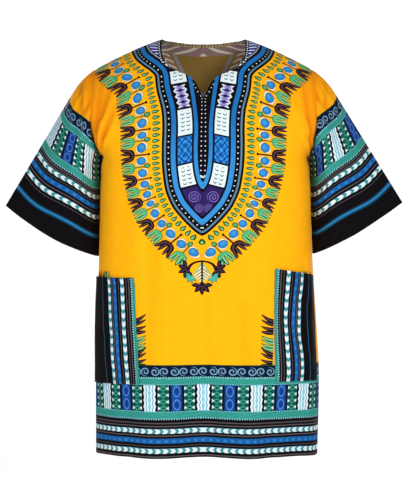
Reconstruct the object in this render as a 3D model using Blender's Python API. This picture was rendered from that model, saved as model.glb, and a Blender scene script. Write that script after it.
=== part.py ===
"""A worn dashiki shirt: front, back, two set-in sleeves and two patch pockets, each a closed cloth wall.

Metres, +Z up. The front faces -Y. The origin lies between the shoulders at the base of the neck,
where the shirt is held up. A panel is worked out as rows and columns of points: u runs across it
from -1 at one side seam to 1 at the other, and v up it, 0 at the hem, 1 at the armpit, 2 at the
shoulder or the neck edge. The cloth of a panel is cut in one; the solid is parted at the armpits,
into a panel and a yoke, so that each takes a closer collision shape.
"""

import math

import bmesh
import bpy
import numpy as np

WALL = 0.0014                 # thickness of the cloth wall
SEAM_GAP = 0.0003             # between two pieces that are sewn together
MITRE_LIMIT = 0.6             # least cosine of half the angle between two walls that meet at a seam
RIDGE_Y = 0.006               # where the shoulder line runs, front to back

# The body, from the armpits down. Widths and depths are half sizes from the shoulder line's plane.
# A roundness of 2 makes a section an ellipse, and more makes it squarer.
ARMPIT_Z = -0.217
HEM_Z = -0.740                # of the rows, before the cloth hangs lower towards its hem
HEM_DROP = 0.005              # how much lower the hem hangs all round
HEM_SIDE_DROP = 0.010         # and how much more at the side seams
HEM_DROP_SPREAD = 3           # the higher, the closer that keeps to the seams
HEM_DROP_TOP = 0.7            # share of the way up where the drop ends
BODY_SECTIONS = (
    # height, left width, right width, front depth, back depth, left seam y, right seam y, roundness
    (-0.217, 0.1800, 0.1850, 0.124, 0.118, 0.000, 0.000, 3.3),
    (-0.245, 0.1840, 0.1905, 0.125, 0.121, 0.000, -0.006, 3.1),
    (-0.330, 0.1880, 0.1950, 0.126, 0.122, -0.004, -0.018, 2.8),
    (-0.420, 0.1905, 0.1990, 0.126, 0.120, -0.008, -0.032, 2.7),
    (-0.520, 0.1950, 0.2060, 0.127, 0.122, -0.010, -0.044, 2.7),
    (-0.620, 0.1965, 0.2110, 0.128, 0.126, -0.012, -0.048, 2.7),
    (-0.740, 0.1970, 0.2085, 0.130, 0.130, -0.012, -0.044, 2.7),
)

# The shoulder line, seen from the front, starts level beside the neck, slopes, and droops outwards.
SHOULDER_START = 0.070
SHOULDER_SLOPE = 0.37
SHOULDER_DROOP = 0.7
SHOULDER_SOFTNESS = 0.015
CHEST_FULLNESS = 1.7          # 2 is a quarter ellipse from the shoulder line to the chest
BACK_FULLNESS = 2.0

# The armhole, from the armpit (0) up to the shoulder (1).
ARMHOLE_SECTIONS = (
    # share of the way up, left half width, right half width, share of the full depth, roundness
    (0.00, 0.1800, 0.1850, 0.00, 3.3),
    (0.10, 0.1905, 0.1935, 0.33, 3.2),
    (0.20, 0.1980, 0.1990, 0.54, 3.0),
    (0.35, 0.2010, 0.2015, 0.70, 2.8),
    (0.60, 0.2000, 0.2005, 0.77, 2.7),
    (1.00, 0.1950, 0.1955, 0.79, 2.7),
)

NECK_SHARE = 0.5              # share of a half panel's columns that end on the neck edge
FRONT_NECK = (
    # half width, height: from the foot of the slit to the shoulder
    (0.0000, -0.1110),
    (0.0210, -0.0770),
    (0.0440, -0.0660),
    (0.0590, -0.0580),
    (0.0670, -0.0500),
    (0.0740, -0.0300),
    (0.0755, -0.0150),
    (0.0750, -0.0062),
)
BACK_NECK = (
    # half width, height: from the middle of the back to the shoulder
    (0.0000, -0.0110),
    (0.0300, -0.0100),
    (0.0550, -0.0070),
    (0.0700, -0.0058),
    (0.0750, -0.0062),
)

# Sleeves. The top fold leaves the shoulder at one slope and turns to a steeper one.
SLEEVE_TOP_LENGTH = 0.300
SLEEVE_START_ANGLE = math.radians(36)
SLEEVE_END_ANGLES = {-1: math.radians(59), 1: math.radians(58)}
SLEEVE_TURN_LENGTH = 0.070
SLEEVE_UNDERARM = (
    # share of the way from the hem to the armhole, left x, right x, y, z
    (0.00, 0.1960, 0.2035, 0.018, -0.3980),
    (0.35, 0.1935, 0.2005, 0.014, -0.3320),
    (0.70, 0.1915, 0.1985, 0.009, -0.2670),
    (0.88, 0.1885, 0.1945, 0.007, -0.2350),
    (1.00, 0.1800, 0.1850, 0.006, -0.2170),
)
CUFF_SECTION = (
    # share of the way round a half, share of the width, depth of the front, depth of the back
    (0.00, 0.000, 0.000, 0.000),
    (0.12, 0.105, 0.013, 0.011),
    (0.30, 0.290, 0.031, 0.027),
    (0.50, 0.520, 0.045, 0.042),
    (0.70, 0.745, 0.050, 0.050),
    (0.86, 0.915, 0.036, 0.040),
    (0.95, 0.985, 0.017, 0.020),
    (1.00, 1.000, 0.000, 0.000),
)
CUFF_DIPS = {-1: 0.008, 1: 0.004}   # how far the middle of a cuff hangs past its straight line

# Pockets lie on the front panel's own points.
POCKET_COLUMNS = 6
POCKET_BULGE = 0.003
POCKET_BULGE_REACH = 0.75     # of half a turn from the closed bottom to the mouth, so the mouth stays full
POCKET_MOUTH_GAP = 0.0015
POCKET_MOUTH_SPREAD = 0.7     # below 1 the mouth's gap reaches further to its corners
POCKET_MOUTH_POWER = 6        # how closely that gap keeps to the mouth
POCKET_LEAST_ROW = 0.3        # of a row of the front panel, for the row under the mouth
POCKETS = (
    # name, side, inner u, outer u, bottom row height, top height inside, top height outside
    ("pocket_left", -1, 0.47, 0.965, -0.612, -0.428, -0.430),
    ("pocket_right", 1, 0.53, 0.965, -0.608, -0.412, -0.430),
)

# The largest folds. Each runs straight from one point of a panel to another.
FOLDS = {
    "front": (
        # from u, from v, to u, to v, half width, rise at the start, rise at the end
        (-0.32, 0.00, -0.30, 0.62, 0.040, 0.014, 0.000),
        (0.33, 0.00, 0.30, 0.58, 0.038, 0.014, 0.000),
        (0.01, 0.00, 0.02, 0.50, 0.045, -0.013, 0.000),
        (-0.74, 0.00, -0.70, 0.55, 0.036, -0.006, 0.000),
        (0.72, 0.00, 0.74, 0.60, 0.034, -0.007, 0.000),
        (-0.97, 1.10, -0.78, 1.52, 0.012, 0.006, 0.000),
        (0.97, 1.08, 0.80, 1.46, 0.013, 0.005, 0.000),
    ),
    "back": (
        (-0.55, 0.00, -0.45, 0.90, 0.042, 0.012, 0.000),
        (-0.05, 0.00, -0.06, 1.05, 0.050, -0.012, 0.000),
        (0.28, 0.00, 0.26, 0.85, 0.036, 0.011, 0.000),
        (0.62, 0.00, 0.52, 0.95, 0.040, -0.009, 0.000),
        (-0.80, 0.00, -0.74, 0.70, 0.034, -0.007, 0.000),
        (0.97, 1.08, 0.66, 1.50, 0.016, 0.006, 0.000),
        (-0.97, 1.10, -0.64, 1.48, 0.017, 0.006, 0.000),
    ),
}
HALF_PANEL = 0.26             # metres across for one unit of u, and up for v, when folds are laid out
LOWER_PANEL = 0.525
UPPER_PANEL = 0.20
SIDE_FADE = 0.06              # of u and v, over which folds run out at the seams
TOP_FADE = 0.12

INNER_COLUMNS = 6             # from the middle of a panel to a pocket
LOWER_ROWS = 25
UPPER_ROWS = 10
SLEEVE_ROWS = 11
SLEEVE_ROW_CROWDING = 1.15    # above 1, rows stand closer near the armhole
CURVE_SAMPLES = 241           # along a curve that is divided by its length
SHARP_ANGLE = math.radians(45)
TINY = 1e-6                   # for comparing shares

MATERIALS = {
    # colour, roughness
    "printed_cotton": ((0.86, 0.46, 0.015), 0.72),
    "border_cotton": ((0.02, 0.10, 0.17), 0.72),
}


def smooth_table(rows, column, at):
    """Column of a table at the given places in its first column, as a curve through every row."""
    places = np.array([row[0] for row in rows])
    values = np.array([row[column] for row in rows])
    return smooth_curve(places, values, at)


def smooth_curve(places, values, at):
    steps = np.diff(places)
    rises = np.diff(values) / steps
    slopes = np.empty_like(values)
    slopes[0] = rises[0]
    slopes[-1] = rises[-1]
    same_way = rises[:-1] * rises[1:] > 0
    mean = (rises[:-1] * steps[1:] + rises[1:] * steps[:-1]) / (steps[1:] + steps[:-1])
    slopes[1:-1] = np.where(same_way, mean, 0.0)
    at = np.clip(at, places[0], places[-1])
    index = np.clip(np.searchsorted(places, at, side="right") - 1, 0, len(steps) - 1)
    t = (at - places[index]) / steps[index]
    h = steps[index]
    return (
        values[index] * (1 + 2 * t) * (1 - t) ** 2
        + slopes[index] * h * t * (1 - t) ** 2
        + values[index + 1] * t**2 * (3 - 2 * t)
        + slopes[index + 1] * h * t**2 * (t - 1)
    )


def ease(t):
    """0 to 1 with level ends."""
    t = np.clip(t, 0.0, 1.0)
    return t * t * (3 - 2 * t)


def shoulder_height(x):
    past = np.abs(x) - SHOULDER_START
    slope = SHOULDER_SLOPE * (past + np.sqrt(past**2 + SHOULDER_SOFTNESS**2)) / 2
    return -slope - SHOULDER_DROOP * np.maximum(past, 0.0) ** 2


def section_arc(width, depth, seam_depth, roundness, shares):
    """x and depth along a rounded quarter section, at shares of its length from the middle to the seam."""
    angle = np.linspace(0.0, 1.0, CURVE_SAMPLES) * math.pi / 2
    x = width * np.sin(angle) ** (2 / roundness)
    y = depth * np.cos(angle) ** (2 / roundness)
    if seam_depth > 0:
        keep = y >= seam_depth
        x, y = x[keep], y[keep]
    elif seam_depth < 0:
        # The panel goes on past the widest point, onto the other quarter.
        more = np.linspace(0.0, 1.0, CURVE_SAMPLES)[1:] * -seam_depth
        x = np.append(x, width * (1 - (more / depth) ** roundness) ** (1 / roundness))
        y = np.append(y, -more)
    length = np.append(0.0, np.cumsum(np.hypot(np.diff(x), np.diff(y))))
    wanted = shares * length[-1]
    return np.interp(wanted, length, x), np.interp(wanted, length, y)


def top_edge(side, direction, shares):
    """Half width and height of a panel's top edge at shares of its columns, from the middle out."""
    neck = FRONT_NECK if side == "front" else BACK_NECK
    x = np.array([row[0] for row in neck])
    z = np.array([row[1] for row in neck])
    length = np.append(0.0, np.cumsum(np.hypot(np.diff(x), np.diff(z))))
    shoulder_x = ARMHOLE_SECTIONS[-1][half_column(direction)]
    on_neck = np.clip(shares / NECK_SHARE, 0.0, 1.0) * length[-1]
    on_shoulder = np.clip((shares - NECK_SHARE) / (1 - NECK_SHARE), 0.0, 1.0)
    edge_x = smooth_curve(length, x, on_neck)
    edge_z = smooth_curve(length, z, on_neck)
    past_neck = shares > NECK_SHARE
    edge_x = np.where(past_neck, x[-1] + (shoulder_x - x[-1]) * on_shoulder, edge_x)
    edge_z = np.where(past_neck, shoulder_height(edge_x), edge_z)
    return edge_x, np.minimum(edge_z, shoulder_height(edge_x))


def half_lower(side, direction, shares, height):
    """A row below the armpit: x, y for one half, at shares of its length from the middle."""
    width = smooth_heights(half_column(direction), height)
    front = smooth_heights(3, height)
    back = smooth_heights(4, height)
    seam_y = smooth_heights(6 if direction > 0 else 5, height)
    roundness = smooth_heights(7, height)
    if side == "front":
        x, depth = section_arc(width, front, -seam_y, roundness, shares)
        return x, RIDGE_Y - depth
    x, depth = section_arc(width, back, seam_y, roundness, shares)
    return x, RIDGE_Y + depth


def half_column(direction):
    """Which column of a table holds the width of the left (-1) or the right (1) half."""
    return 1 if direction < 0 else 2


def smooth_heights(column, height):
    rows = BODY_SECTIONS[::-1]
    return float(smooth_table(rows, column, np.array([height]))[0])


def half_upper(side, direction, shares, rise):
    """A row above the armpit, at a share of the way up: x, y and z for one half."""
    power = CHEST_FULLNESS if side == "front" else BACK_FULLNESS
    depth = smooth_heights(3 if side == "front" else 4, ARMPIT_Z)
    column = half_column(direction)
    width = float(smooth_table(ARMHOLE_SECTIONS, column, np.array([rise]))[0])
    fullness = float(smooth_table(ARMHOLE_SECTIONS, 3, np.array([rise]))[0])
    roundness = float(smooth_table(ARMHOLE_SECTIONS, 4, np.array([rise]))[0])
    reach = width / (1 - fullness**roundness) ** (1 / roundness)
    round_x, _ = section_arc(reach, depth, fullness * depth, roundness, np.append(shares, 1.0))
    top_x, top_z = top_edge(side, direction, shares)
    mix = ease(rise)
    round_x = round_x[:-1] * width / round_x[-1]
    x = (1 - mix) * round_x + mix * top_x * width / ARMHOLE_SECTIONS[-1][column]
    top_drop = (shoulder_height(top_x) - top_z) / (shoulder_height(top_x) - ARMPIT_Z)
    top_angle = np.arccos(np.clip(1 - top_drop, 0.0, 1.0) ** (power / 2))
    angle = math.pi / 2 - (math.pi / 2 - top_angle) * rise
    drop = 1 - np.clip(np.cos(angle), 0.0, 1.0) ** (2 / power)
    forward = np.clip(np.sin(angle), 0.0, 1.0) ** (2 / power)
    z = shoulder_height(x) - (shoulder_height(x) - ARMPIT_Z) * drop
    across = np.clip(1 - (x / reach) ** roundness, 0.0, 1.0) ** (1 / roundness)
    away = depth * forward * across
    return x, RIDGE_Y + (away if side == "back" else -away), z


def body_points(side, us, vs):
    """Points of a panel for every v (rows) and u (columns), before its folds."""
    points = np.zeros((len(vs), len(us), 3))
    for direction in (-1, 1):
        half = us * direction >= 0
        shares = np.abs(us[half])
        for row, v in enumerate(vs):
            if v <= 1:
                z = HEM_Z + (ARMPIT_Z - HEM_Z) * v
                x, y = half_lower(side, direction, shares, z)
            else:
                x, y, z = half_upper(side, direction, shares, v - 1)
            points[row, half, 0] = x * direction
            points[row, half, 1] = y
            fade = max(1 - v / HEM_DROP_TOP, 0.0) ** 2
            points[row, half, 2] = z - (HEM_DROP + HEM_SIDE_DROP * shares**HEM_DROP_SPREAD) * fade
    return points


def grid_normals(points, closed=False):
    """Unit normals of a grid of points, as rows by columns."""
    down = np.gradient(points, axis=0)
    if closed:
        across = (np.roll(points, -1, axis=1) - np.roll(points, 1, axis=1)) / 2
    else:
        across = np.gradient(points, axis=1)
    normals = np.cross(across, down)
    return normals / np.maximum(np.linalg.norm(normals, axis=2, keepdims=True), 1e-12)


def fold_rise(side, us, vs):
    """How far the folds push a panel out, for every v and u."""
    def along(v):
        return np.where(v <= 1, v * LOWER_PANEL, LOWER_PANEL + (v - 1) * UPPER_PANEL)

    grid_x, grid_y = np.meshgrid(us * HALF_PANEL, along(vs))
    total = np.zeros_like(grid_x)
    for from_u, from_v, to_u, to_v, half_width, first, last in FOLDS[side]:
        start = np.array([from_u * HALF_PANEL, along(np.array(from_v))])
        run = np.array([to_u * HALF_PANEL, along(np.array(to_v))]) - start
        share = ((grid_x - start[0]) * run[0] + (grid_y - start[1]) * run[1]) / (run @ run)
        inside = np.clip(share, 0.0, 1.0)
        gap = np.hypot(grid_x - start[0] - inside * run[0], grid_y - start[1] - inside * run[1])
        height = first + (last - first) * ease(inside)
        total += height * np.exp(-((gap / half_width) ** 2))
    return total


def panel_grid(side, us, vs):
    """Outer points of a panel with its folds, the same at the seams as its neighbours'."""
    points = body_points(side, us, vs)
    normals = grid_normals(points) * (1 if side == "front" else -1)
    seam = ease((1 - np.abs(us)) / SIDE_FADE)[None, :] * ease((2 - vs) / TOP_FADE)[:, None]
    rise = fold_rise(side, us, vs) * seam
    return points + normals * rise[:, :, None]


def armhole_curve(side, direction, rises):
    """Points of an armhole at shares of the way up from the armpit."""
    us = np.array([direction * 1.0])
    return body_points(side, us, 1 + rises)[:, 0, :]


def sleeve_top(direction, shares):
    """x and z of a sleeve's top fold, from the shoulder (0) to the cuff (1)."""
    length = np.linspace(0.0, SLEEVE_TOP_LENGTH, CURVE_SAMPLES)
    turn = ease(length / SLEEVE_TURN_LENGTH)
    angle = SLEEVE_START_ANGLE + (SLEEVE_END_ANGLES[direction] - SLEEVE_START_ANGLE) * turn
    start_x = ARMHOLE_SECTIONS[-1][half_column(direction)]
    step = np.diff(length)
    x = start_x + np.append(0.0, np.cumsum(step * np.cos((angle[1:] + angle[:-1]) / 2)))
    z = shoulder_height(start_x) - np.append(0.0, np.cumsum(step * np.sin((angle[1:] + angle[:-1]) / 2)))
    wanted = shares * SLEEVE_TOP_LENGTH
    return np.interp(wanted, length, x), np.interp(wanted, length, z)


def sleeve_grid(direction, rows, rounds):
    """Outer points of a sleeve: rows from the cuff (0) to the armhole (1), closed loops of columns.

    rounds holds the shares of the way from the top fold to the underarm. A loop runs down the
    front from the fold, and up the back again.
    """
    top_x, top_z = sleeve_top(direction, 1 - rows)
    under = [smooth_table(SLEEVE_UNDERARM, column, rows) for column in (half_column(direction), 3, 4)]
    halves = []
    for side, column, sign in (("front", 2, -1), ("back", 3, 1)):
        hole = armhole_curve(side, direction, 1 - rounds) * (direction, 1, 1)
        hole_top = np.array([top_x[-1], RIDGE_Y, top_z[-1]])
        hole_under = np.array([under[0][-1], under[1][-1], under[2][-1]])
        chord = hole_under - hole_top
        flat = np.array([chord[0], 0.0, chord[2]])
        size = np.linalg.norm(flat)
        forward = np.array([-flat[2], 0.0, flat[0]]) / size
        from_top = hole - hole_top
        hole_along = from_top @ flat / size**2
        hole_off = from_top @ forward
        hole_deep = from_top[:, 1] - hole_along * chord[1]
        cuff_along = smooth_table(CUFF_SECTION, 1, rounds)
        cuff_deep = sign * smooth_table(CUFF_SECTION, column, rounds)
        cuff_off = CUFF_DIPS[direction] * np.sin(math.pi * cuff_along)
        grid = np.zeros((len(rows), len(rounds), 3))
        for row, share in enumerate(rows):
            mix = (ease(share) + share) / 2
            top = np.array([top_x[row], RIDGE_Y, top_z[row]])
            bottom = np.array([under[0][row], under[1][row], under[2][row]])
            run = bottom - top
            level = np.array([run[0], 0.0, run[2]])
            outward = np.array([-level[2], 0.0, level[0]]) / np.linalg.norm(level)
            along = (1 - mix) * cuff_along + mix * hole_along
            deep = (1 - mix) * cuff_deep + mix * hole_deep
            off = (1 - mix) * cuff_off + mix * hole_off
            grid[row] = top + along[:, None] * run + off[:, None] * outward
            grid[row, :, 1] += deep
        halves.append(grid)
    loop = np.concatenate([halves[0], halves[1][:, -2:0:-1]], axis=1)
    loop[:, :, 0] *= direction
    return loop


def object_from(name, points, faces, material):
    mesh = bpy.data.meshes.new(name)
    mesh.from_pydata(points.tolist(), [], faces)
    shape = bmesh.new()
    shape.from_mesh(mesh)
    bmesh.ops.recalc_face_normals(shape, faces=shape.faces)
    bmesh.ops.triangulate(shape, faces=shape.faces)
    shape.to_mesh(mesh)
    shape.free()
    mesh.shade_smooth()
    mesh.set_sharp_from_angle(angle=SHARP_ANGLE)
    mesh.materials.append(material)
    thing = bpy.data.objects.new(name, mesh)
    bpy.context.scene.collection.objects.link(thing)
    return thing


def cloth_wall(name, outer, offsets, material, closed=False):
    """A closed wall between a grid of outer points and the same points moved by their offsets."""
    rows, columns, _ = outer.shape
    inner = outer + offsets
    points = np.concatenate([outer.reshape(-1, 3), inner.reshape(-1, 3)])
    other = rows * columns
    faces = []
    last = columns if closed else columns - 1
    for row in range(rows - 1):
        for column in range(last):
            a = row * columns + column
            b = row * columns + (column + 1) % columns
            c, d = b + columns, a + columns
            faces.append((a, b, c, d))
            faces.append((d + other, c + other, b + other, a + other))
    for row in (0, rows - 1):
        for column in range(last):
            a = row * columns + column
            b = row * columns + (column + 1) % columns
            faces.append((a, b, b + other, a + other))
    if not closed:
        for column in (0, columns - 1):
            for row in range(rows - 1):
                a = row * columns + column
                b = a + columns
                faces.append((a, b, b + other, a + other))
    return object_from(name, points, faces, material)


def pulled_in(points, edge, inside, amount):
    """The points of an edge moved towards the points next to them."""
    way = points[inside] - points[edge]
    way /= np.linalg.norm(way, axis=-1, keepdims=True)
    points[edge] = points[edge] + way * amount


def mitred(first, second):
    """The shared direction of two sets of normals that meet at a seam, long enough for both walls."""
    both = first + second
    both /= np.linalg.norm(both, axis=-1, keepdims=True)
    reach = np.maximum(np.sum(both * first, axis=-1, keepdims=True), MITRE_LIMIT)
    return both / reach


def make_material(name):
    colour, roughness = MATERIALS[name]
    material = bpy.data.materials.new(name)
    material.use_nodes = True
    shader = material.node_tree.nodes["Principled BSDF"]
    shader.inputs["Base Color"].default_value = (*colour, 1.0)
    shader.inputs["Roughness"].default_value = roughness
    shader.inputs["Metallic"].default_value = 0.0
    return material


def make_pocket(row, front, normals, us, vs, material):
    """A patch pocket on the front panel's own grid points, moved out and slightly full."""
    name, direction, inner_u, outer_u, bottom_z, top_inner_z, top_outer_z = row
    heights = HEM_Z + (ARMPIT_Z - HEM_Z) * vs
    columns = np.where((us * direction > inner_u - TINY) & (us * direction < outer_u + TINY))[0]
    if direction < 0:
        columns = columns[::-1]
    bottom = int(np.argmin(np.abs(heights - bottom_z)))
    share = (us[columns] * direction - inner_u) / (outer_u - inner_u)
    top_z = top_inner_z + (top_outer_z - top_inner_z) * share
    top_row = np.interp(top_z, heights, np.arange(len(heights)))
    inner_rows = np.arange(bottom, int(np.floor(top_row.min() - POCKET_LEAST_ROW)) + 1)
    count = len(inner_rows) + 1
    points = np.zeros((count, len(columns), 3))
    outward = np.zeros_like(points)
    for place, column in enumerate(columns):
        rows = np.append(inner_rows, top_row[place])
        low = np.clip(np.floor(rows).astype(int), 0, len(vs) - 2)
        part = (rows - low)[:, None]
        points[:, place] = front[low, column] * (1 - part) + front[low + 1, column] * part
        outward[:, place] = normals[low, column] * (1 - part) + normals[low + 1, column] * part
    up = np.linspace(0.0, 1.0, count)
    across = np.clip(np.sin(math.pi * share), 0.0, 1.0)[None, :]
    bulge = POCKET_BULGE * across * np.sin(math.pi * up * POCKET_BULGE_REACH)[:, None]
    mouth = POCKET_MOUTH_GAP * across**POCKET_MOUTH_SPREAD * (up**POCKET_MOUTH_POWER)[:, None]
    lift = SEAM_GAP + WALL + bulge + mouth
    outer = points + outward * lift[:, :, None]
    return cloth_wall(name, outer, -outward * WALL, material)


def make_shirt():
    cotton = make_material("printed_cotton")
    border = make_material("border_cotton")

    left, right = [
        np.concatenate([
            np.linspace(0.0, inner, INNER_COLUMNS + 1),
            np.linspace(inner, outer, POCKET_COLUMNS + 1)[1:],
            [1.0],
        ])
        for _, _, inner, outer, *_ in POCKETS
    ]
    us = np.concatenate([-left[:0:-1], right])
    rises = np.linspace(0.0, 1.0, UPPER_ROWS + 1)
    vs = np.concatenate([np.linspace(0.0, 1.0, LOWER_ROWS + 1), 1 + rises[1:]])

    panels = {side: panel_grid(side, us, vs) for side in ("front", "back")}
    normals = {
        "front": grid_normals(panels["front"]),
        "back": -grid_normals(panels["back"]),
    }

    rows = 1 - np.linspace(1.0, 0.0, SLEEVE_ROWS + 1) ** SLEEVE_ROW_CROWDING
    rounds = 1 - rises[::-1]
    sleeves = {1: sleeve_grid(1, rows, rounds), -1: sleeve_grid(-1, rows, rounds)}
    sleeve_normals = {way: -way * grid_normals(sleeves[way], closed=True) for way in (1, -1)}

    offsets = {side: -normals[side] * WALL for side in panels}
    sleeve_offsets = {way: -sleeve_normals[way] * WALL for way in sleeves}
    on_neck = np.abs(us) < NECK_SHARE - TINY

    # Side seams, then shoulder seams: both walls of a seam share its mitre.
    lower = slice(0, LOWER_ROWS + 1)
    for column in (0, -1):
        shared = mitred(normals["front"][lower, column], normals["back"][lower, column])
        for side in panels:
            offsets[side][lower, column] = -shared * WALL
    shared = mitred(normals["front"][-1, ~on_neck], normals["back"][-1, ~on_neck])
    for side in panels:
        offsets[side][-1, ~on_neck] = -shared * WALL

    # Armholes: a sleeve's loop runs from the shoulder down the front and up the back.
    count = UPPER_ROWS + 1
    for way, column in ((1, -1), (-1, 0)):
        loop = sleeve_normals[way][-1]
        front_part = loop[:count][::-1]
        back_part = np.concatenate([loop[count - 1:], loop[:1]])
        for side, part in (("front", front_part), ("back", back_part)):
            shared = mitred(normals[side][LOWER_ROWS:, column], part)
            offsets[side][LOWER_ROWS:, column] = -shared * WALL
            if side == "front":
                sleeve_offsets[way][-1, :count] = -shared[::-1] * WALL
            else:
                sleeve_offsets[way][-1, count:] = -shared[1:-1] * WALL

    half_gap = SEAM_GAP / 2
    pocket_base = panels["front"].copy()
    for side in panels:
        grid = panels[side]
        pulled_in(grid, (slice(None), 0), (slice(None), 1), half_gap)
        pulled_in(grid, (slice(None), -1), (slice(None), -2), half_gap)
        pulled_in(grid, (-1, ~on_neck), (-2, ~on_neck), half_gap)
        below, above = grid[lower].copy(), grid[LOWER_ROWS:].copy()
        pulled_in(below, (-1,), (-2,), half_gap)
        pulled_in(above, (0,), (1,), half_gap)
        cloth_wall(f"{side}_panel", below, offsets[side][lower], cotton)
        cloth_wall(f"{side}_yoke", above, offsets[side][LOWER_ROWS:], cotton)
    for way, name in ((-1, "sleeve_left"), (1, "sleeve_right")):
        grid = sleeves[way]
        pulled_in(grid, (-1,), (-2,), half_gap)
        cloth_wall(name, grid, sleeve_offsets[way], cotton, closed=True)
    for row in POCKETS:
        make_pocket(row, pocket_base, normals["front"], us, vs, border)


for thing in list(bpy.data.objects):
    bpy.data.objects.remove(thing, do_unlink=True)
make_shirt()
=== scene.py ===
import math

import bpy
import numpy as np
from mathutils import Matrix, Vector
from mathutils.kdtree import KDTree


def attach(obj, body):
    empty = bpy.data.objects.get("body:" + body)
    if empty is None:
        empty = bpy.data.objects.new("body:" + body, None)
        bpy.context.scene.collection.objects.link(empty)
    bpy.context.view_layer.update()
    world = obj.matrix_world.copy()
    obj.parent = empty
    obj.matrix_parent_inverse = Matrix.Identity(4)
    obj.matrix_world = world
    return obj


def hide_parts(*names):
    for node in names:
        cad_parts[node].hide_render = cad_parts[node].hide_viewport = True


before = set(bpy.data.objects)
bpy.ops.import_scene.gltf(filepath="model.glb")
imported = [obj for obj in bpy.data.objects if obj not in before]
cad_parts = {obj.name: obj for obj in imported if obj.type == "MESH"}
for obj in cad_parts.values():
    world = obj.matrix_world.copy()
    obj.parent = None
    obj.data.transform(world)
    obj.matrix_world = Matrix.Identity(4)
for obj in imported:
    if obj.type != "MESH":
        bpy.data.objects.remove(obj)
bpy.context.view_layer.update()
print("frame loaded:", ", ".join(sorted(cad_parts)))

# half sizes of the body by height, from the shoulder line's plane; a roundness of 2 is an ellipse
bodyShape = {
    "shoulderLineY": 0.006,
    "armpitHeight": -0.217,
    "hemHeight": -0.740,      # of the rows, before the cloth hangs lower towards its hem
    "hemDrop": 0.005,         # how much lower the hem hangs all round
    "hemSideDrop": 0.010,     # and how much more at the side seams
    "hemDropSpread": 3,       # the higher, the closer that keeps to the seams
    "hemDropTop": 0.7,        # share of the way up where the drop ends
    "sections": (
        # height, left width, right width, front depth, back depth, left seam y, right seam y, roundness
        (-0.217, 0.1800, 0.1850, 0.124, 0.118, 0.000, 0.000, 3.3),
        (-0.245, 0.1840, 0.1905, 0.125, 0.121, 0.000, -0.006, 3.1),
        (-0.330, 0.1880, 0.1950, 0.126, 0.122, -0.004, -0.018, 2.8),
        (-0.420, 0.1905, 0.1990, 0.126, 0.120, -0.008, -0.032, 2.7),
        (-0.520, 0.1950, 0.2060, 0.127, 0.122, -0.010, -0.044, 2.7),
        (-0.620, 0.1965, 0.2110, 0.128, 0.126, -0.012, -0.048, 2.7),
        (-0.740, 0.1970, 0.2085, 0.130, 0.130, -0.012, -0.044, 2.7),
    ),
    "shoulderStart": 0.070,
    "shoulderSlope": 0.37,
    "shoulderDroop": 0.7,
    "shoulderSoftness": 0.015,
    "chestFullness": 1.7,
    "backFullness": 2.0,
    "edgeDepth": 0.12,        # how deep the chest is taken to be where columns are spaced out
    "armhole": (
        # share of the way up, left half width, right half width, share of the full depth, roundness
        (0.00, 0.1800, 0.1850, 0.00, 3.3),
        (0.10, 0.1905, 0.1935, 0.33, 3.2),
        (0.20, 0.1980, 0.1990, 0.54, 3.0),
        (0.35, 0.2010, 0.2015, 0.70, 2.8),
        (0.60, 0.2000, 0.2005, 0.77, 2.7),
        (1.00, 0.1950, 0.1955, 0.79, 2.7),
    ),
    "neckShare": 0.5,
    "frontNeck": (
        # half width, height: from the foot of the slit to the shoulder
        (0.0000, -0.1135),
        (0.0210, -0.0770),
        (0.0440, -0.0660),
        (0.0590, -0.0580),
        (0.0670, -0.0500),
        (0.0740, -0.0300),
        (0.0755, -0.0150),
        (0.0750, -0.0038),
    ),
    "backNeck": (
        # half width, height: from the middle of the back to the shoulder
        (0.0000, -0.0110),
        (0.0300, -0.0100),
        (0.0550, -0.0070),
        (0.0700, -0.0052),
        (0.0750, -0.0038),
    ),
}

# creases run straight from one point of a panel to another; u runs across from -1 to 1,
# v up it: 0 at the hem, 1 at the armpit, 2 at the top
bodyFolds = {
    "acrossUnit": 0.26,
    "lowerUnit": 0.525,
    "upperUnit": 0.20,
    "fadeAtSide": 0.06,       # shares of a panel over which creases fade out at its edges
    "fadeAtTop": 0.12,
    "front": (
        # from u, from v, to u, to v, half width, rise at the start, rise at the end
        (-0.32, 0.00, -0.30, 0.62, 0.040, 0.014, 0.000),
        (0.33, 0.00, 0.30, 0.58, 0.038, 0.014, 0.000),
        (0.01, 0.00, 0.02, 0.50, 0.045, -0.013, 0.000),
        (-0.74, 0.00, -0.70, 0.55, 0.036, -0.006, 0.000),
        (0.72, 0.00, 0.74, 0.60, 0.034, -0.007, 0.000),
        (-0.97, 1.10, -0.78, 1.52, 0.012, 0.006, 0.000),
        (0.97, 1.08, 0.80, 1.46, 0.013, 0.005, 0.000),
    ),
    "back": (
        (-0.55, 0.00, -0.45, 0.90, 0.042, 0.012, 0.000),
        (-0.05, 0.00, -0.06, 1.05, 0.050, -0.012, 0.000),
        (0.28, 0.00, 0.26, 0.85, 0.036, 0.011, 0.000),
        (0.62, 0.00, 0.52, 0.95, 0.040, -0.009, 0.000),
        (-0.80, 0.00, -0.74, 0.70, 0.034, -0.007, 0.000),
        (0.97, 1.08, 0.66, 1.50, 0.016, 0.006, 0.000),
        (-0.97, 1.10, -0.64, 1.48, 0.017, 0.006, 0.000),
    ),
}

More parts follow.
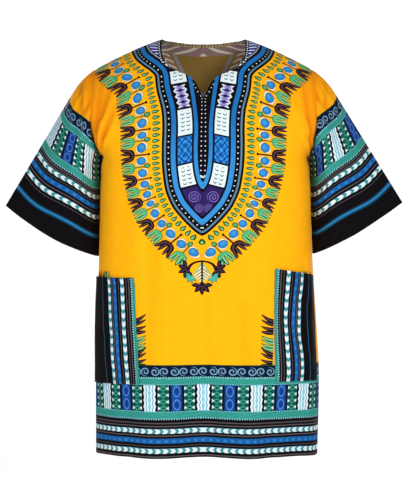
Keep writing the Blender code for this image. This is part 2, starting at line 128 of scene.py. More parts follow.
sleeveShape = {
    "topLengths": {-1: 0.3000, 1: 0.2955},
    "underarmLifts": {-1: 0.0000, 1: 0.0045},     # how much higher the cuff hangs under the arm
    "startAngle": math.radians(36),
    "endAngles": {-1: math.radians(59), 1: math.radians(58)},
    "turnLength": 0.070,
    "underarm": (
        # share of the way from the hem to the armhole, left x, right x, y, z
        (0.00, 0.1914, 0.1993, 0.018, -0.3980),
        (0.35, 0.1893, 0.1963, 0.014, -0.3320),
        (0.70, 0.1864, 0.1929, 0.009, -0.2670),
        (0.88, 0.1840, 0.1903, 0.007, -0.2350),
        (1.00, 0.1800, 0.1850, 0.006, -0.2170),
    ),
    "cuff": (
        # share of the way round a half, share of the width, depth of the front, depth of the back
        (0.00, 0.000, 0.000, 0.000),
        (0.12, 0.105, 0.013, 0.011),
        (0.30, 0.290, 0.031, 0.027),
        (0.50, 0.520, 0.045, 0.042),
        (0.70, 0.745, 0.050, 0.050),
        (0.86, 0.915, 0.036, 0.040),
        (0.95, 0.985, 0.017, 0.020),
        (1.00, 1.000, 0.000, 0.000),
    ),
    "cuffDips": {-1: 0.008, 1: 0.004},
}

meshDetail = {
    "columnsPerHalf": 66,
    "lowerRows": 126,
    "upperRows": 50,
    "sleeveRows": 76,
    "clothThickness": 0.0009,
    "seamDepth": 0.0017,      # how far a seam sinks
    "seamWidth": 0.0036,
    "foldFade": 0.008,        # folds fade out this far from side seams, top edges and caps
    "foldFadeAtTop": 0.030,
    "foldFadeAtCap": 0.006,
}


def smoothTable(rows, column, at):
    # a curve through every row of a table that doesn't overshoot
    places = np.array([row[0] for row in rows])
    values = np.array([row[column] for row in rows])
    return smoothCurve(places, values, at)


def smoothCurve(places, values, at):
    steps = np.diff(places)
    rises = np.diff(values) / steps
    slopes = np.empty_like(values)
    slopes[0] = rises[0]
    slopes[-1] = rises[-1]
    sameWay = rises[:-1] * rises[1:] > 0
    mean = (rises[:-1] * steps[1:] + rises[1:] * steps[:-1]) / (steps[1:] + steps[:-1])
    slopes[1:-1] = np.where(sameWay, mean, 0.0)
    at = np.clip(at, places[0], places[-1])
    index = np.clip(np.searchsorted(places, at, side="right") - 1, 0, len(steps) - 1)
    h = steps[index]
    t = (at - places[index]) / h
    return (
        values[index] * (1 + 2 * t) * (1 - t) ** 2
        + slopes[index] * h * t * (1 - t) ** 2
        + values[index + 1] * t**2 * (3 - 2 * t)
        + slopes[index + 1] * h * t**2 * (t - 1)
    )


def ease(t):
    t = np.clip(t, 0.0, 1.0)
    return t * t * (3 - 2 * t)


def halfColumn(direction):
    return 1 if direction < 0 else 2


def shoulderHeight(x):
    past = np.abs(x) - bodyShape["shoulderStart"]
    soft = np.sqrt(past**2 + bodyShape["shoulderSoftness"] ** 2)
    droop = bodyShape["shoulderDroop"] * np.maximum(past, 0.0) ** 2
    return -bodyShape["shoulderSlope"] * (past + soft) / 2 - droop


def bodySize(column, height):
    return float(smoothTable(bodyShape["sections"][::-1], column, np.array([height]))[0])


def sectionArc(width, depth, seamDepth, roundness, shares):
    # x and depth along a rounded quarter section, at shares of its length from the middle to the seam
    angle = np.linspace(0.0, 1.0, 241) * math.pi / 2
    x = width * np.sin(angle) ** (2 / roundness)
    y = depth * np.cos(angle) ** (2 / roundness)
    if seamDepth > 0:
        keep = y >= seamDepth
        x, y = x[keep], y[keep]
    elif seamDepth < 0:
        more = np.linspace(0.0, 1.0, 61)[1:] * -seamDepth
        x = np.append(x, width * (1 - (more / depth) ** roundness) ** (1 / roundness))
        y = np.append(y, -more)
    length = np.append(0.0, np.cumsum(np.hypot(np.diff(x), np.diff(y))))
    return np.interp(shares * length[-1], length, x), np.interp(shares * length[-1], length, y)


def topEdge(side, direction, shares):
    # half width and height of a panel's top edge at shares of its columns, from the middle out
    table = np.array(bodyShape[side + "Neck"])
    length = np.append(0.0, np.cumsum(np.hypot(*np.diff(table, axis=0).T)))
    places = np.linspace(0.0, length[-1], 400)
    x = smoothCurve(length, table[:, 0], places)
    z = np.minimum(smoothCurve(length, table[:, 1], places), shoulderHeight(x))
    # how far forward each point lies, so that columns keep an even distance along the real edge
    power = bodyShape["chestFullness" if side == "front" else "backFullness"]
    drop = (shoulderHeight(x) - z) / (shoulderHeight(x) - bodyShape["armpitHeight"])
    turn = np.arccos(np.clip(1 - drop, 0.0, 1.0) ** (power / 2))
    forward = bodyShape["edgeDepth"] * np.sin(turn) ** (2 / power)
    real = np.append(0.0, np.cumsum(np.sqrt(np.diff(x) ** 2 + np.diff(z) ** 2 + np.diff(forward) ** 2)))
    shoulderX = bodyShape["armhole"][-1][halfColumn(direction)]
    neckShare = bodyShape["neckShare"]
    onNeck = np.clip(shares / neckShare, 0.0, 1.0) * real[-1]
    onShoulder = np.clip((shares - neckShare) / (1 - neckShare), 0.0, 1.0)
    pastNeck = shares > neckShare
    edgeX = np.where(pastNeck, x[-1] + (shoulderX - x[-1]) * onShoulder, np.interp(onNeck, real, x))
    edgeZ = np.where(pastNeck, shoulderHeight(edgeX), np.interp(onNeck, real, z))
    return edgeX, np.minimum(edgeZ, shoulderHeight(edgeX))


def lowerRow(side, direction, shares, height):
    width = bodySize(halfColumn(direction), height)
    seamY = bodySize(6 if direction > 0 else 5, height)
    roundness = bodySize(7, height)
    sign = -1 if side == "front" else 1
    depth = bodySize(3 if side == "front" else 4, height)
    x, away = sectionArc(width, depth, seamY * sign, roundness, shares)
    return x, bodyShape["shoulderLineY"] + sign * away


def upperRow(side, direction, shares, rise):
    power = bodyShape["chestFullness" if side == "front" else "backFullness"]
    armpit = bodyShape["armpitHeight"]
    depth = bodySize(3 if side == "front" else 4, armpit)
    table = bodyShape["armhole"]
    column = halfColumn(direction)
    width, fullness, roundness = [float(smoothTable(table, c, np.array([rise]))[0]) for c in (column, 3, 4)]
    reach = width / (1 - fullness**roundness) ** (1 / roundness)
    roundX, _ = sectionArc(reach, depth, fullness * depth, roundness, np.append(shares, 1.0))
    roundX = roundX[:-1] * width / roundX[-1]
    topX, topZ = topEdge(side, direction, shares)
    mix = ease(rise)
    x = (1 - mix) * roundX + mix * topX * width / table[-1][column]
    topDrop = (shoulderHeight(topX) - topZ) / (shoulderHeight(topX) - armpit)
    topAngle = np.arccos(np.clip(1 - topDrop, 0.0, 1.0) ** (power / 2))
    angle = math.pi / 2 - (math.pi / 2 - topAngle) * rise
    drop = 1 - np.clip(np.cos(angle), 0.0, 1.0) ** (2 / power)
    forward = np.clip(np.sin(angle), 0.0, 1.0) ** (2 / power)
    z = shoulderHeight(x) - (shoulderHeight(x) - armpit) * drop
    across = np.clip(1 - (x / reach) ** roundness, 0.0, 1.0) ** (1 / roundness)
    away = depth * forward * across
    return x, bodyShape["shoulderLineY"] + (away if side == "back" else -away), z


def bodyPoints(side, us, vs):
    points = np.zeros((len(vs), len(us), 3))
    hem, armpit = bodyShape["hemHeight"], bodyShape["armpitHeight"]
    for direction in (-1, 1):
        half = us * direction >= 0
        shares = np.abs(us[half])
        for row, v in enumerate(vs):
            if v <= 1:
                z = hem + (armpit - hem) * v
                x, y = lowerRow(side, direction, shares, z)
            else:
                x, y, z = upperRow(side, direction, shares, v - 1)
            points[row, half, 0] = x * direction
            points[row, half, 1] = y
            lower = bodyShape["hemDrop"] + bodyShape["hemSideDrop"] * shares ** bodyShape["hemDropSpread"]
            points[row, half, 2] = z - lower * max(1 - v / bodyShape["hemDropTop"], 0.0) ** 2
    return points


def gridNormals(points, closed=False):
    down = np.gradient(points, axis=0)
    if closed:
        across = (np.roll(points, -1, axis=1) - np.roll(points, 1, axis=1)) / 2
    else:
        across = np.gradient(points, axis=1)
    normals = np.cross(across, down)
    return normals / np.maximum(np.linalg.norm(normals, axis=2, keepdims=True), 1e-12)


def foldRise(folds, us, vs, unit, along):
    # how far each point of a grid is raised by its folds; unit and along turn u and v into metres
    gridX, gridY = np.meshgrid(us * unit, along(vs))
    total = np.zeros_like(gridX)
    for fromU, fromV, toU, toV, halfWidth, first, last in folds:
        start = np.array([fromU * unit, along(fromV)])
        run = np.array([toU * unit, along(toV)]) - start
        share = ((gridX - start[0]) * run[0] + (gridY - start[1]) * run[1]) / (run @ run)
        inside = np.clip(share, 0.0, 1.0)
        gap = np.hypot(gridX - start[0] - inside * run[0], gridY - start[1] - inside * run[1])
        total += (first + (last - first) * ease(inside)) * np.exp(-((gap / halfWidth) ** 2))
    return total


def panelRise(folds, us, vs):
    low, high = bodyFolds["lowerUnit"], bodyFolds["upperUnit"]

    def along(v):
        return np.where(v <= 1, v * low, low + (v - 1) * high)

    return foldRise(folds, us, vs, bodyFolds["acrossUnit"], along)


def panelGrid(side, us, vs):
    points = bodyPoints(side, us, vs)
    normals = gridNormals(points) * (1 if side == "front" else -1)
    atSide, atTop = bodyFolds["fadeAtSide"], bodyFolds["fadeAtTop"]
    seam = ease((1 - np.abs(us)) / atSide)[None, :] * ease((2 - vs) / atTop)[:, None]
    rise = panelRise(bodyFolds[side], us, vs) * seam
    return points + normals * rise[:, :, None]


def armholeCurve(side, direction, rises):
    return bodyPoints(side, np.array([direction * 1.0]), 1 + rises)[:, 0, :]


def sleeveTop(direction, shares):
    whole = sleeveShape["topLengths"][direction]
    first, last = sleeveShape["startAngle"], sleeveShape["endAngles"][direction]
    length = np.linspace(0.0, whole, 301)
    angle = first + (last - first) * ease(length / sleeveShape["turnLength"])
    startX = bodyShape["armhole"][-1][halfColumn(direction)]
    step = np.diff(length)
    middle = (angle[1:] + angle[:-1]) / 2
    x = startX + np.append(0.0, np.cumsum(step * np.cos(middle)))
    z = shoulderHeight(startX) - np.append(0.0, np.cumsum(step * np.sin(middle)))
    return np.interp(shares * whole, length, x), np.interp(shares * whole, length, z)


def squareTo(run):
    # a unit step square to a run, as seen from the front
    return np.array([-run[2], 0.0, run[0]]) / math.hypot(run[0], run[2])


def sleeveGrid(direction, rows, rounds):
    # rows from the cuff (0) to the armhole (1)
    # a loop runs from the top fold down the front and up the back
    topX, topZ = sleeveTop(direction, 1 - rows)
    tops = np.stack([topX, np.full(len(rows), bodyShape["shoulderLineY"]), topZ], axis=1)
    columns = (halfColumn(direction), 3, 4)
    unders = np.stack([smoothTable(sleeveShape["underarm"], c, rows) for c in columns], axis=1)
    unders[:, 2] += sleeveShape["underarmLifts"][direction] * (1 - rows) ** 2
    halves = []
    for side, column, sign in (("front", 2, -1), ("back", 3, 1)):
        fromTop = armholeCurve(side, direction, 1 - rounds) * (direction, 1, 1) - tops[-1]
        chord = unders[-1] - tops[-1]
        level = chord * (1, 0, 1)
        holeAlong = fromTop @ level / (level @ level)
        holeOff = fromTop @ squareTo(chord)
        holeDeep = fromTop[:, 1] - holeAlong * chord[1]
        cuffAlong = smoothTable(sleeveShape["cuff"], 1, rounds)
        cuffDeep = sign * smoothTable(sleeveShape["cuff"], column, rounds)
        cuffOff = sleeveShape["cuffDips"][direction] * np.sin(math.pi * cuffAlong)
        grid = np.zeros((len(rows), len(rounds), 3))
        for row, share in enumerate(rows):
            mix = (ease(share) + share) / 2
            run = unders[row] - tops[row]
            along = (1 - mix) * cuffAlong + mix * holeAlong
            off = (1 - mix) * cuffOff + mix * holeOff
            grid[row] = tops[row] + along[:, None] * run + off[:, None] * squareTo(run)
            grid[row, :, 1] += (1 - mix) * cuffDeep + mix * holeDeep
        halves.append(grid)
    loop = np.concatenate([halves[0], halves[1][:, -2:0:-1]], axis=1)
    loop[:, :, 0] *= direction
    return loop


def relaxFlat(points):
    # the flat cut of a grid of cloth: every edge and diagonal takes its real length,
    # and the hem stays straight
    rows, columns, _ = points.shape
    middle = columns // 2
    step = np.linalg.norm(np.diff(points, axis=1), axis=2)
    x = np.concatenate([np.zeros((rows, 1)), np.cumsum(step, axis=1)], axis=1)
    x -= x[:, middle:middle + 1]
    climb = np.linalg.norm(np.diff(points, axis=0)[:, :, 1:], axis=2)
    y = np.concatenate([np.zeros((1, columns)), np.cumsum(climb, axis=0)], axis=0)
    flat = np.stack([x, y], axis=2)
    for stride, count in ((8, 400), (4, 200), (2, 80), (1, 40)):      # from coarse to fine
        rowPicks = np.unique(np.append(np.arange(0, rows, stride), rows - 1))
        left, right = np.arange(middle, -1, -stride), np.arange(middle, columns, stride)
        columnPicks = np.unique(np.concatenate([left, right, [0, columns - 1]]))
        small = flat[np.ix_(rowPicks, columnPicks)]
        settle(small, points[np.ix_(rowPicks, columnPicks)], count)
        change = small - flat[np.ix_(rowPicks, columnPicks)]
        spread = np.zeros((len(rowPicks), columns, 2))
        for axis in (0, 1):
            for row in range(len(rowPicks)):
                spread[row, :, axis] = np.interp(np.arange(columns), columnPicks, change[row, :, axis])
            for column in range(columns):
                flat[:, column, axis] += np.interp(np.arange(rows), rowPicks, spread[:, column, axis])
    return flat


def settle(flat, points, count):
    # neighbours move in turns, so that no point takes two moves at once
    def byTurns(size, odd):
        return slice(odd, size - 1, 2), slice(odd + 1, size, 2)

    rows, columns, _ = points.shape
    same = (slice(None), slice(None))
    right = (slice(0, -1), slice(1, None))
    ways = [(same, byTurns(columns, odd)) for odd in (0, 1)]
    ways += [(byTurns(rows, odd), way) for way in (same, right, right[::-1]) for odd in (0, 1)]
    pairs = []
    for rowWay, columnWay in ways:
        first, second = zip(rowWay, columnWay)
        pairs.append((first, second, np.linalg.norm(points[second] - points[first], axis=2)))
    for _ in range(count):
        for first, second, length in pairs:
            gap = flat[second] - flat[first]
            now = np.maximum(np.linalg.norm(gap, axis=2), 1e-9)
            push = gap * ((now - length) / now * 0.25)[:, :, None]
            flat[first] += push
            flat[second] -= push
        flat[0, :, 1] = 0.0


# soft folds laid over the panels: from u, v to u, v; half width and rise in metres.
# Each leans a little, so no two share a length, a depth or a spacing.
wornFolds = {
    "front": (
        (-0.965, 1.00, -0.900, 1.33, 0.0056, -0.0060, -0.0016),
        (-0.915, 1.03, -0.850, 1.30, 0.0066, 0.0048, 0.0010),
        (-0.925, 0.99, -0.860, 1.19, 0.0052, -0.0064, -0.0014),
        (-0.870, 1.16, -0.750, 1.45, 0.0066, -0.0050, -0.0008),
        (-0.830, 1.12, -0.640, 1.52, 0.0090, 0.0032, 0.0002),
        (-0.930, 0.96, -0.560, 1.12, 0.0090, 0.0022, 0.0002),
        (-0.890, 1.34, -0.780, 1.86, 0.0075, -0.0032, -0.0008),
        (-0.945, 1.24, -0.900, 1.76, 0.0060, -0.0026, -0.0010),
        (0.955, 1.01, 0.860, 1.30, 0.0058, -0.0050, -0.0010),
        (0.915, 1.03, 0.800, 1.28, 0.0070, 0.0038, 0.0004),
        (0.890, 1.22, 0.660, 1.58, 0.0085, 0.0022, 0.0002),
        (0.935, 1.18, 0.880, 1.78, 0.0065, -0.0028, -0.0012),
        (0.930, 0.96, 0.620, 1.06, 0.0095, 0.0016, 0.0002),
        (-0.44, 0.98, -0.52, 0.40, 0.0180, 0.0026, 0.0010),
        (-0.33, 0.80, -0.38, 0.30, 0.0120, -0.0016, -0.0010),
        (0.40, 1.00, 0.50, 0.34, 0.0200, 0.0024, 0.0012),
        (-0.20, 0.62, -0.16, 0.05, 0.0150, 0.0006, 0.0030),
        (0.17, 0.55, 0.14, 0.02, 0.0160, 0.0006, 0.0028),
        (0.30, 0.50, 0.33, 0.12, 0.0120, -0.0014, -0.0018),
        (-0.55, 0.42, -0.52, 0.00, 0.0150, 0.0000, -0.0028),
        (0.52, 0.40, 0.50, 0.00, 0.0160, 0.0000, -0.0026),
        (-0.86, 0.60, -0.90, 0.12, 0.0110, 0.0020, 0.0008),
        (0.86, 0.66, 0.88, 0.16, 0.0120, 0.0024, 0.0010),
        (0.08, 0.93, -0.03, 0.70, 0.0180, -0.0010, 0.0004),
        (-0.29, 0.68, -0.25, 0.16, 0.0062, 0.0009, 0.0011),
        (0.21, 0.60, 0.26, 0.22, 0.0058, 0.0010, 0.0006),
        (0.03, 0.52, 0.06, 0.17, 0.0066, -0.0008, -0.0010),
        (-0.50, 0.86, -0.42, 0.50, 0.0074, 0.0011, 0.0005),
        (0.55, 0.90, 0.47, 0.56, 0.0070, 0.0010, 0.0005),
    ),
    "back": (
        (-0.92, 1.10, -0.50, 1.36, 0.0090, 0.0030, 0.0002),
        (-0.93, 0.98, -0.40, 1.12, 0.0100, 0.0024, 0.0002),
        (0.93, 1.08, 0.46, 1.30, 0.0095, 0.0028, 0.0002),
        (0.92, 0.97, 0.50, 1.04, 0.0100, 0.0020, 0.0002),
        (-0.34, 1.20, -0.38, 0.30, 0.0190, 0.0036, 0.0014),
        (-0.20, 1.05, -0.24, 0.42, 0.0120, -0.0026, -0.0010),
        (0.16, 1.12, 0.20, 0.26, 0.0200, 0.0034, -0.0014),
        (0.31, 0.98, 0.36, 0.34, 0.0130, -0.0024, -0.0012),
        (-0.70, 0.62, -0.66, 0.00, 0.0160, 0.0006, 0.0036),
        (0.44, 0.70, 0.46, 0.00, 0.0180, -0.0006, 0.0034),
        (0.80, 0.52, 0.84, 0.03, 0.0140, 0.0018, -0.0016),
        (-0.12, 0.34, -0.14, 0.00, 0.0150, 0.0000, 0.0026),
    ),
}

# folds of the sleeves: share round (0 on the top fold, 1 under the arm, negative on the back),
# share of the way up from the cuff; half width and rise in metres
sleeveFolds = {
    "aroundUnit": 0.24,
    "upUnit": 0.29,
    "capPaintedShade": {-1: 1.3, 1: 0.9},      # painted shade: how much deeper the yellow is painted at the top
    -1: (
        (0.20, 0.955, 0.48, 0.935, 0.0058, 0.0040, 0.0034),
        (0.19, 0.895, 0.44, 0.880, 0.0080, -0.0036, -0.0020),
        (0.34, 0.90, 0.40, 0.62, 0.0085, 0.0030, 0.0006),
        (0.52, 0.96, 0.50, 0.55, 0.0110, -0.0026, 0.0000),
        (0.70, 0.97, 0.56, 0.48, 0.0100, 0.0036, 0.0008),
        (0.88, 0.93, 0.66, 0.40, 0.0120, 0.0030, 0.0004),
        (0.20, 0.92, 0.26, 0.30, 0.0180, 0.0020, 0.0006),
        (0.62, 0.30, 0.58, 0.00, 0.0200, 0.0006, 0.0024),
        (0.30, 0.26, 0.30, 0.00, 0.0220, 0.0002, -0.0020),
        (-0.40, 0.97, -0.36, 0.50, 0.0110, 0.0032, 0.0006),
        (-0.66, 0.95, -0.50, 0.36, 0.0120, 0.0034, 0.0008),
        (-0.50, 0.30, -0.48, 0.00, 0.0210, 0.0004, 0.0024),
    ),
    1: (
        (0.20, 0.955, 0.46, 0.940, 0.0058, 0.0034, 0.0028),
        (0.19, 0.900, 0.40, 0.885, 0.0080, -0.0026, -0.0014),
        (0.30, 0.92, 0.36, 0.66, 0.0090, 0.0028, 0.0006),
        (0.46, 0.98, 0.46, 0.60, 0.0095, -0.0028, 0.0000),
        (0.66, 0.97, 0.54, 0.52, 0.0105, 0.0034, 0.0008),
        (0.86, 0.92, 0.64, 0.36, 0.0125, 0.0032, 0.0004),
        (0.18, 0.90, 0.24, 0.34, 0.0170, 0.0018, 0.0006),
        (0.56, 0.34, 0.54, 0.00, 0.0190, 0.0008, 0.0026),
        (0.28, 0.24, 0.27, 0.00, 0.0210, 0.0002, -0.0022),
        (-0.36, 0.98, -0.34, 0.54, 0.0105, 0.0030, 0.0006),
        (-0.62, 0.94, -0.48, 0.34, 0.0125, 0.0032, 0.0008),
        (-0.46, 0.32, -0.44, 0.00, 0.0200, 0.0004, 0.0022),
    ),
}

pocketShape = {
    # name: direction, inner u at the bottom and top, outer u,
    # heights of the bottom inside and outside, and of the top
    "pocketLeft": (-1, 0.432, 0.480, 0.965, -0.613, -0.618, -0.428, -0.432),
    "pocketRight": (1, 0.541, 0.526, 0.965, -0.609, -0.611, -0.412, -0.430),
    "lift": 0.0021,
    "bulge": 0.0022,
    "mouthGap": 0.0015,
    "rows": 60,
    "columns": 40,
    "sag": {"pocketLeft": 0.0008, "pocketRight": 0.0022},     # how wavy its cloth hangs
    "bend": {"pocketLeft": 0.0006, "pocketRight": 0.0042},    # how far its stripes wander
}

# painted shade, from 0 to 1, that turns the yellow amber: most in troughs, along side seams and at the
# sleeves' caps
paintedShadePlan = {
    "trough": 0.0040,          # a trough this deep in metres takes the whole share
    "troughShare": 0.85,
    "seamReach": 0.028,
    "seamShare": 0.35,
    "armholeShare": 0.45,      # how much more beside the armholes
    "armholeFrom": 0.75,       # share of the way up to the armpit where that begins
    "armholeOver": 0.3,
    "capReach": 0.040,
    "elsewhere": 0.45,         # share of it below the armpits, and under the arm
}


def seamDip(distance):
    return -meshDetail["seamDepth"] * np.exp(-((distance / meshDetail["seamWidth"]) ** 2))


# painted shade in the troughs of folds
def troughPaintedShade(folds):
    return np.clip(-folds / paintedShadePlan["trough"], 0.0, 1.0) * paintedShadePlan["troughShare"]


# how full the painted shade is: whole where the share is 1, and the lower share elsewhere
def paintedShadeWhere(share):
    return paintedShadePlan["elsewhere"] + (1 - paintedShadePlan["elsewhere"]) * share


def lengthsAlong(points, axis):
    step = np.linalg.norm(np.diff(points, axis=axis), axis=2)
    start = np.zeros((1, step.shape[1]) if axis == 0 else (step.shape[0], 1))
    return np.concatenate([start, np.cumsum(step, axis=axis)], axis=axis)


def fullPanel(side):
    half = np.linspace(0.0, 1.0, meshDetail["columnsPerHalf"] + 1)
    us = np.concatenate([-half[:0:-1], half])
    lower = np.linspace(0.0, 1.0, meshDetail["lowerRows"] + 1)
    upper = 1 + np.linspace(0.0, 1.0, meshDetail["upperRows"] + 1)[1:]
    vs = np.concatenate([lower, upper])
    points = panelGrid(side, us, vs)
    facing = 1 if side == "front" else -1
    across = lengthsAlong(points, 1)
    fromSide = np.minimum(across, across[:, -1:] - across)
    up = lengthsAlong(points, 0)
    fromTop = up[-1:] - up
    fade = ease(fromSide / meshDetail["foldFade"]) * ease(fromTop / meshDetail["foldFadeAtTop"])
    folds = panelRise(wornFolds[side], us, vs) * fade
    onShoulder = (np.abs(us) >= bodyShape["neckShare"])[None, :]
    rise = folds + seamDip(fromSide) + np.where(onShoulder, seamDip(fromTop), 0.0)
    raised = points + gridNormals(points) * facing * rise[:, :, None]
    # painted shade: in the troughs of folds, along the side seams, and more beside the armholes
    high = ease((vs - paintedShadePlan["armholeFrom"]) / paintedShadePlan["armholeOver"])[:, None]
    seamPaintedShade = paintedShadePlan["seamShare"] + paintedShadePlan["armholeShare"] * high
    paintedShade = troughPaintedShade(folds) * paintedShadeWhere(high) + np.exp(-fromSide / paintedShadePlan["seamReach"]) * seamPaintedShade
    return {
        "points": raised,
        "normals": gridNormals(raised) * facing,
        "flat": relaxFlat(points) * 1000,
        "paintedShade": paintedShade,
        "us": us,
        "vs": vs,
    }


def fullSleeve(direction):
    rows = np.linspace(0.0, 1.0, meshDetail["sleeveRows"] + 1)
    rounds = np.linspace(0.0, 1.0, meshDetail["upperRows"] + 1)
    points = sleeveGrid(direction, rows, rounds)
    normals = -direction * gridNormals(points, closed=True)
    turn = np.concatenate([rounds, -rounds[-2:0:-1]])
    upUnit = sleeveFolds["upUnit"]
    rise = foldRise(sleeveFolds[direction], turn, rows, sleeveFolds["aroundUnit"], lambda v: v * upUnit)
    up = lengthsAlong(points, 0)
    fromTop = up[-1:] - up
    # painted shade: in the troughs of folds, and at the cap, fullest along the top
    outer = np.clip(1 - np.abs(np.abs(turn) - 0.05) / 0.5, 0.0, 1.0)[None, :]
    capPaintedShade = np.exp(-fromTop / paintedShadePlan["capReach"]) * sleeveFolds["capPaintedShade"][direction]
    paintedShade = troughPaintedShade(rise) + capPaintedShade * paintedShadeWhere(outer)
    rise = rise * ease(fromTop / meshDetail["foldFadeAtCap"]) + seamDip(fromTop)
    points = points + normals * rise[:, :, None]
    # the grid starts and ends at the underarm seam, so that the print meets there
    order = np.roll(np.arange(len(turn)), -(len(turn) // 2))
    order = np.append(order, order[0])
    points, normals, paintedShade, up = [grid[:, order] for grid in (points, normals, paintedShade, up)]
    x = lengthsAlong(points, 1)
    x -= x[:, len(turn) // 2:len(turn) // 2 + 1]
    flat = np.stack([x * -direction, up], axis=2) * 1000
    return {"points": points, "normals": normals, "flat": flat, "paintedShade": paintedShade}


def fullPocket(name, front):
    shape = pocketShape[name]
    direction, innerLow, innerHigh, outerU, bottomInner, bottomOuter, topInner, topOuter = shape
    share = np.linspace(0.0, 1.0, pocketShape["columns"] + 1)
    up = np.linspace(0.0, 1.0, pocketShape["rows"] + 1)[:, None]
    innerU = innerLow + (innerHigh - innerLow) * up
    us = direction * (innerU + (outerU - innerU) * share)
    hem, armpit = bodyShape["hemHeight"], bodyShape["armpitHeight"]
    bottomZ = bottomInner + (bottomOuter - bottomInner) * share
    topZ = topInner + (topOuter - topInner) * share
    vs = (bottomZ + (topZ - bottomZ) * up - hem) / (armpit - hem)
    column = np.interp(us, front["us"], np.arange(len(front["us"])))
    row = np.interp(vs, front["vs"], np.arange(len(front["vs"])))
    columnFloor = np.clip(np.floor(column).astype(int), 0, len(front["us"]) - 2)
    rowFloor = np.clip(np.floor(row).astype(int), 0, len(front["vs"]) - 2)
    a = (column - columnFloor)[:, :, None]
    b = (row - rowFloor)[:, :, None]

    def taken(grid):
        corner = [grid[rowFloor + i, columnFloor + j] for i in (0, 1) for j in (0, 1)]
        low = corner[0] * (1 - a) + corner[1] * a
        return low * (1 - b) + (corner[2] * (1 - a) + corner[3] * a) * b

    across = np.clip(np.sin(math.pi * share), 0.0, 1.0)
    bulge = pocketShape["bulge"] * across * np.sin(math.pi * up * 0.75)
    mouth = pocketShape["mouthGap"] * across**0.7 * up**6
    wave = pocketShape["sag"][name] * across * np.sin(up * 9.0 + share * 5.0) * np.sin(math.pi * up)
    lift = pocketShape["lift"] + bulge + mouth + np.abs(wave)
    points = taken(front["points"]) + taken(front["normals"]) * lift[:, :, None]
    if direction < 0:
        points = points[:, ::-1]
    x = lengthsAlong(points, 1)
    if direction < 0:
        x = x[:, -1:] - x
    flat = np.stack([x, lengthsAlong(points, 0)], axis=2) * 1000
    # where the cloth is folded, its stripes wander
    bend = pocketShape["bend"][name] * across * np.cos(2 * math.pi * (up * 1.1 - 0.62)) * 1000
    printed = np.stack([flat[:, :, 0] + bend, flat[:, :, 1]], axis=2)
    return {"points": points, "normals": gridNormals(points), "flat": flat, "printed": printed}


# colours of the print and the thread, and the amber of the painted shade, as red, green and blue up to 255
inks = {
    "yellow": (246, 172, 12), "black": (10, 8, 12), "navy": (4, 20, 44), "grey": (86, 79, 84),
    "blue": (28, 104, 172), "sky": (56, 140, 206), "deepBlue": (10, 62, 146), "berry": (36, 122, 192),
    "teal": (38, 128, 122), "tealDark": (11, 74, 76), "tealLight": (70, 176, 160), "mint": (74, 166, 112),
    "leaf": (18, 84, 34), "lightMint": (156, 200, 150), "tealLeaf": (62, 172, 158),
    "mintTeal": (48, 138, 112), "white": (212, 226, 230), "ice": (136, 188, 206), "pool": (84, 148, 172),
    "steel": (84, 122, 148), "cream": (226, 212, 170), "brown": (34, 14, 18), "dust": (98, 78, 84),
    "rust": (176, 92, 24), "mark": (84, 104, 100), "purple": (42, 28, 88), "lilac": (106, 92, 166),
    "paleLilac": (132, 124, 186), "violetNight": (18, 8, 38), "collar": (50, 42, 138),
    "glow": (30, 118, 170), "curl": (108, 148, 180), "blockBlue": (22, 68, 140), "ring": (78, 128, 200),
    # the amber on this line is no ink of the print: it is the colour of the painted shade
    "ovalBlue": (16, 56, 138), "line": (34, 82, 114), "shadeAmber": (216, 106, 8), "aubergine": (34, 16, 40),
    "rowBlue": (24, 88, 156), "stream": (92, 164, 200), "darkThread": (20, 18, 26),
}

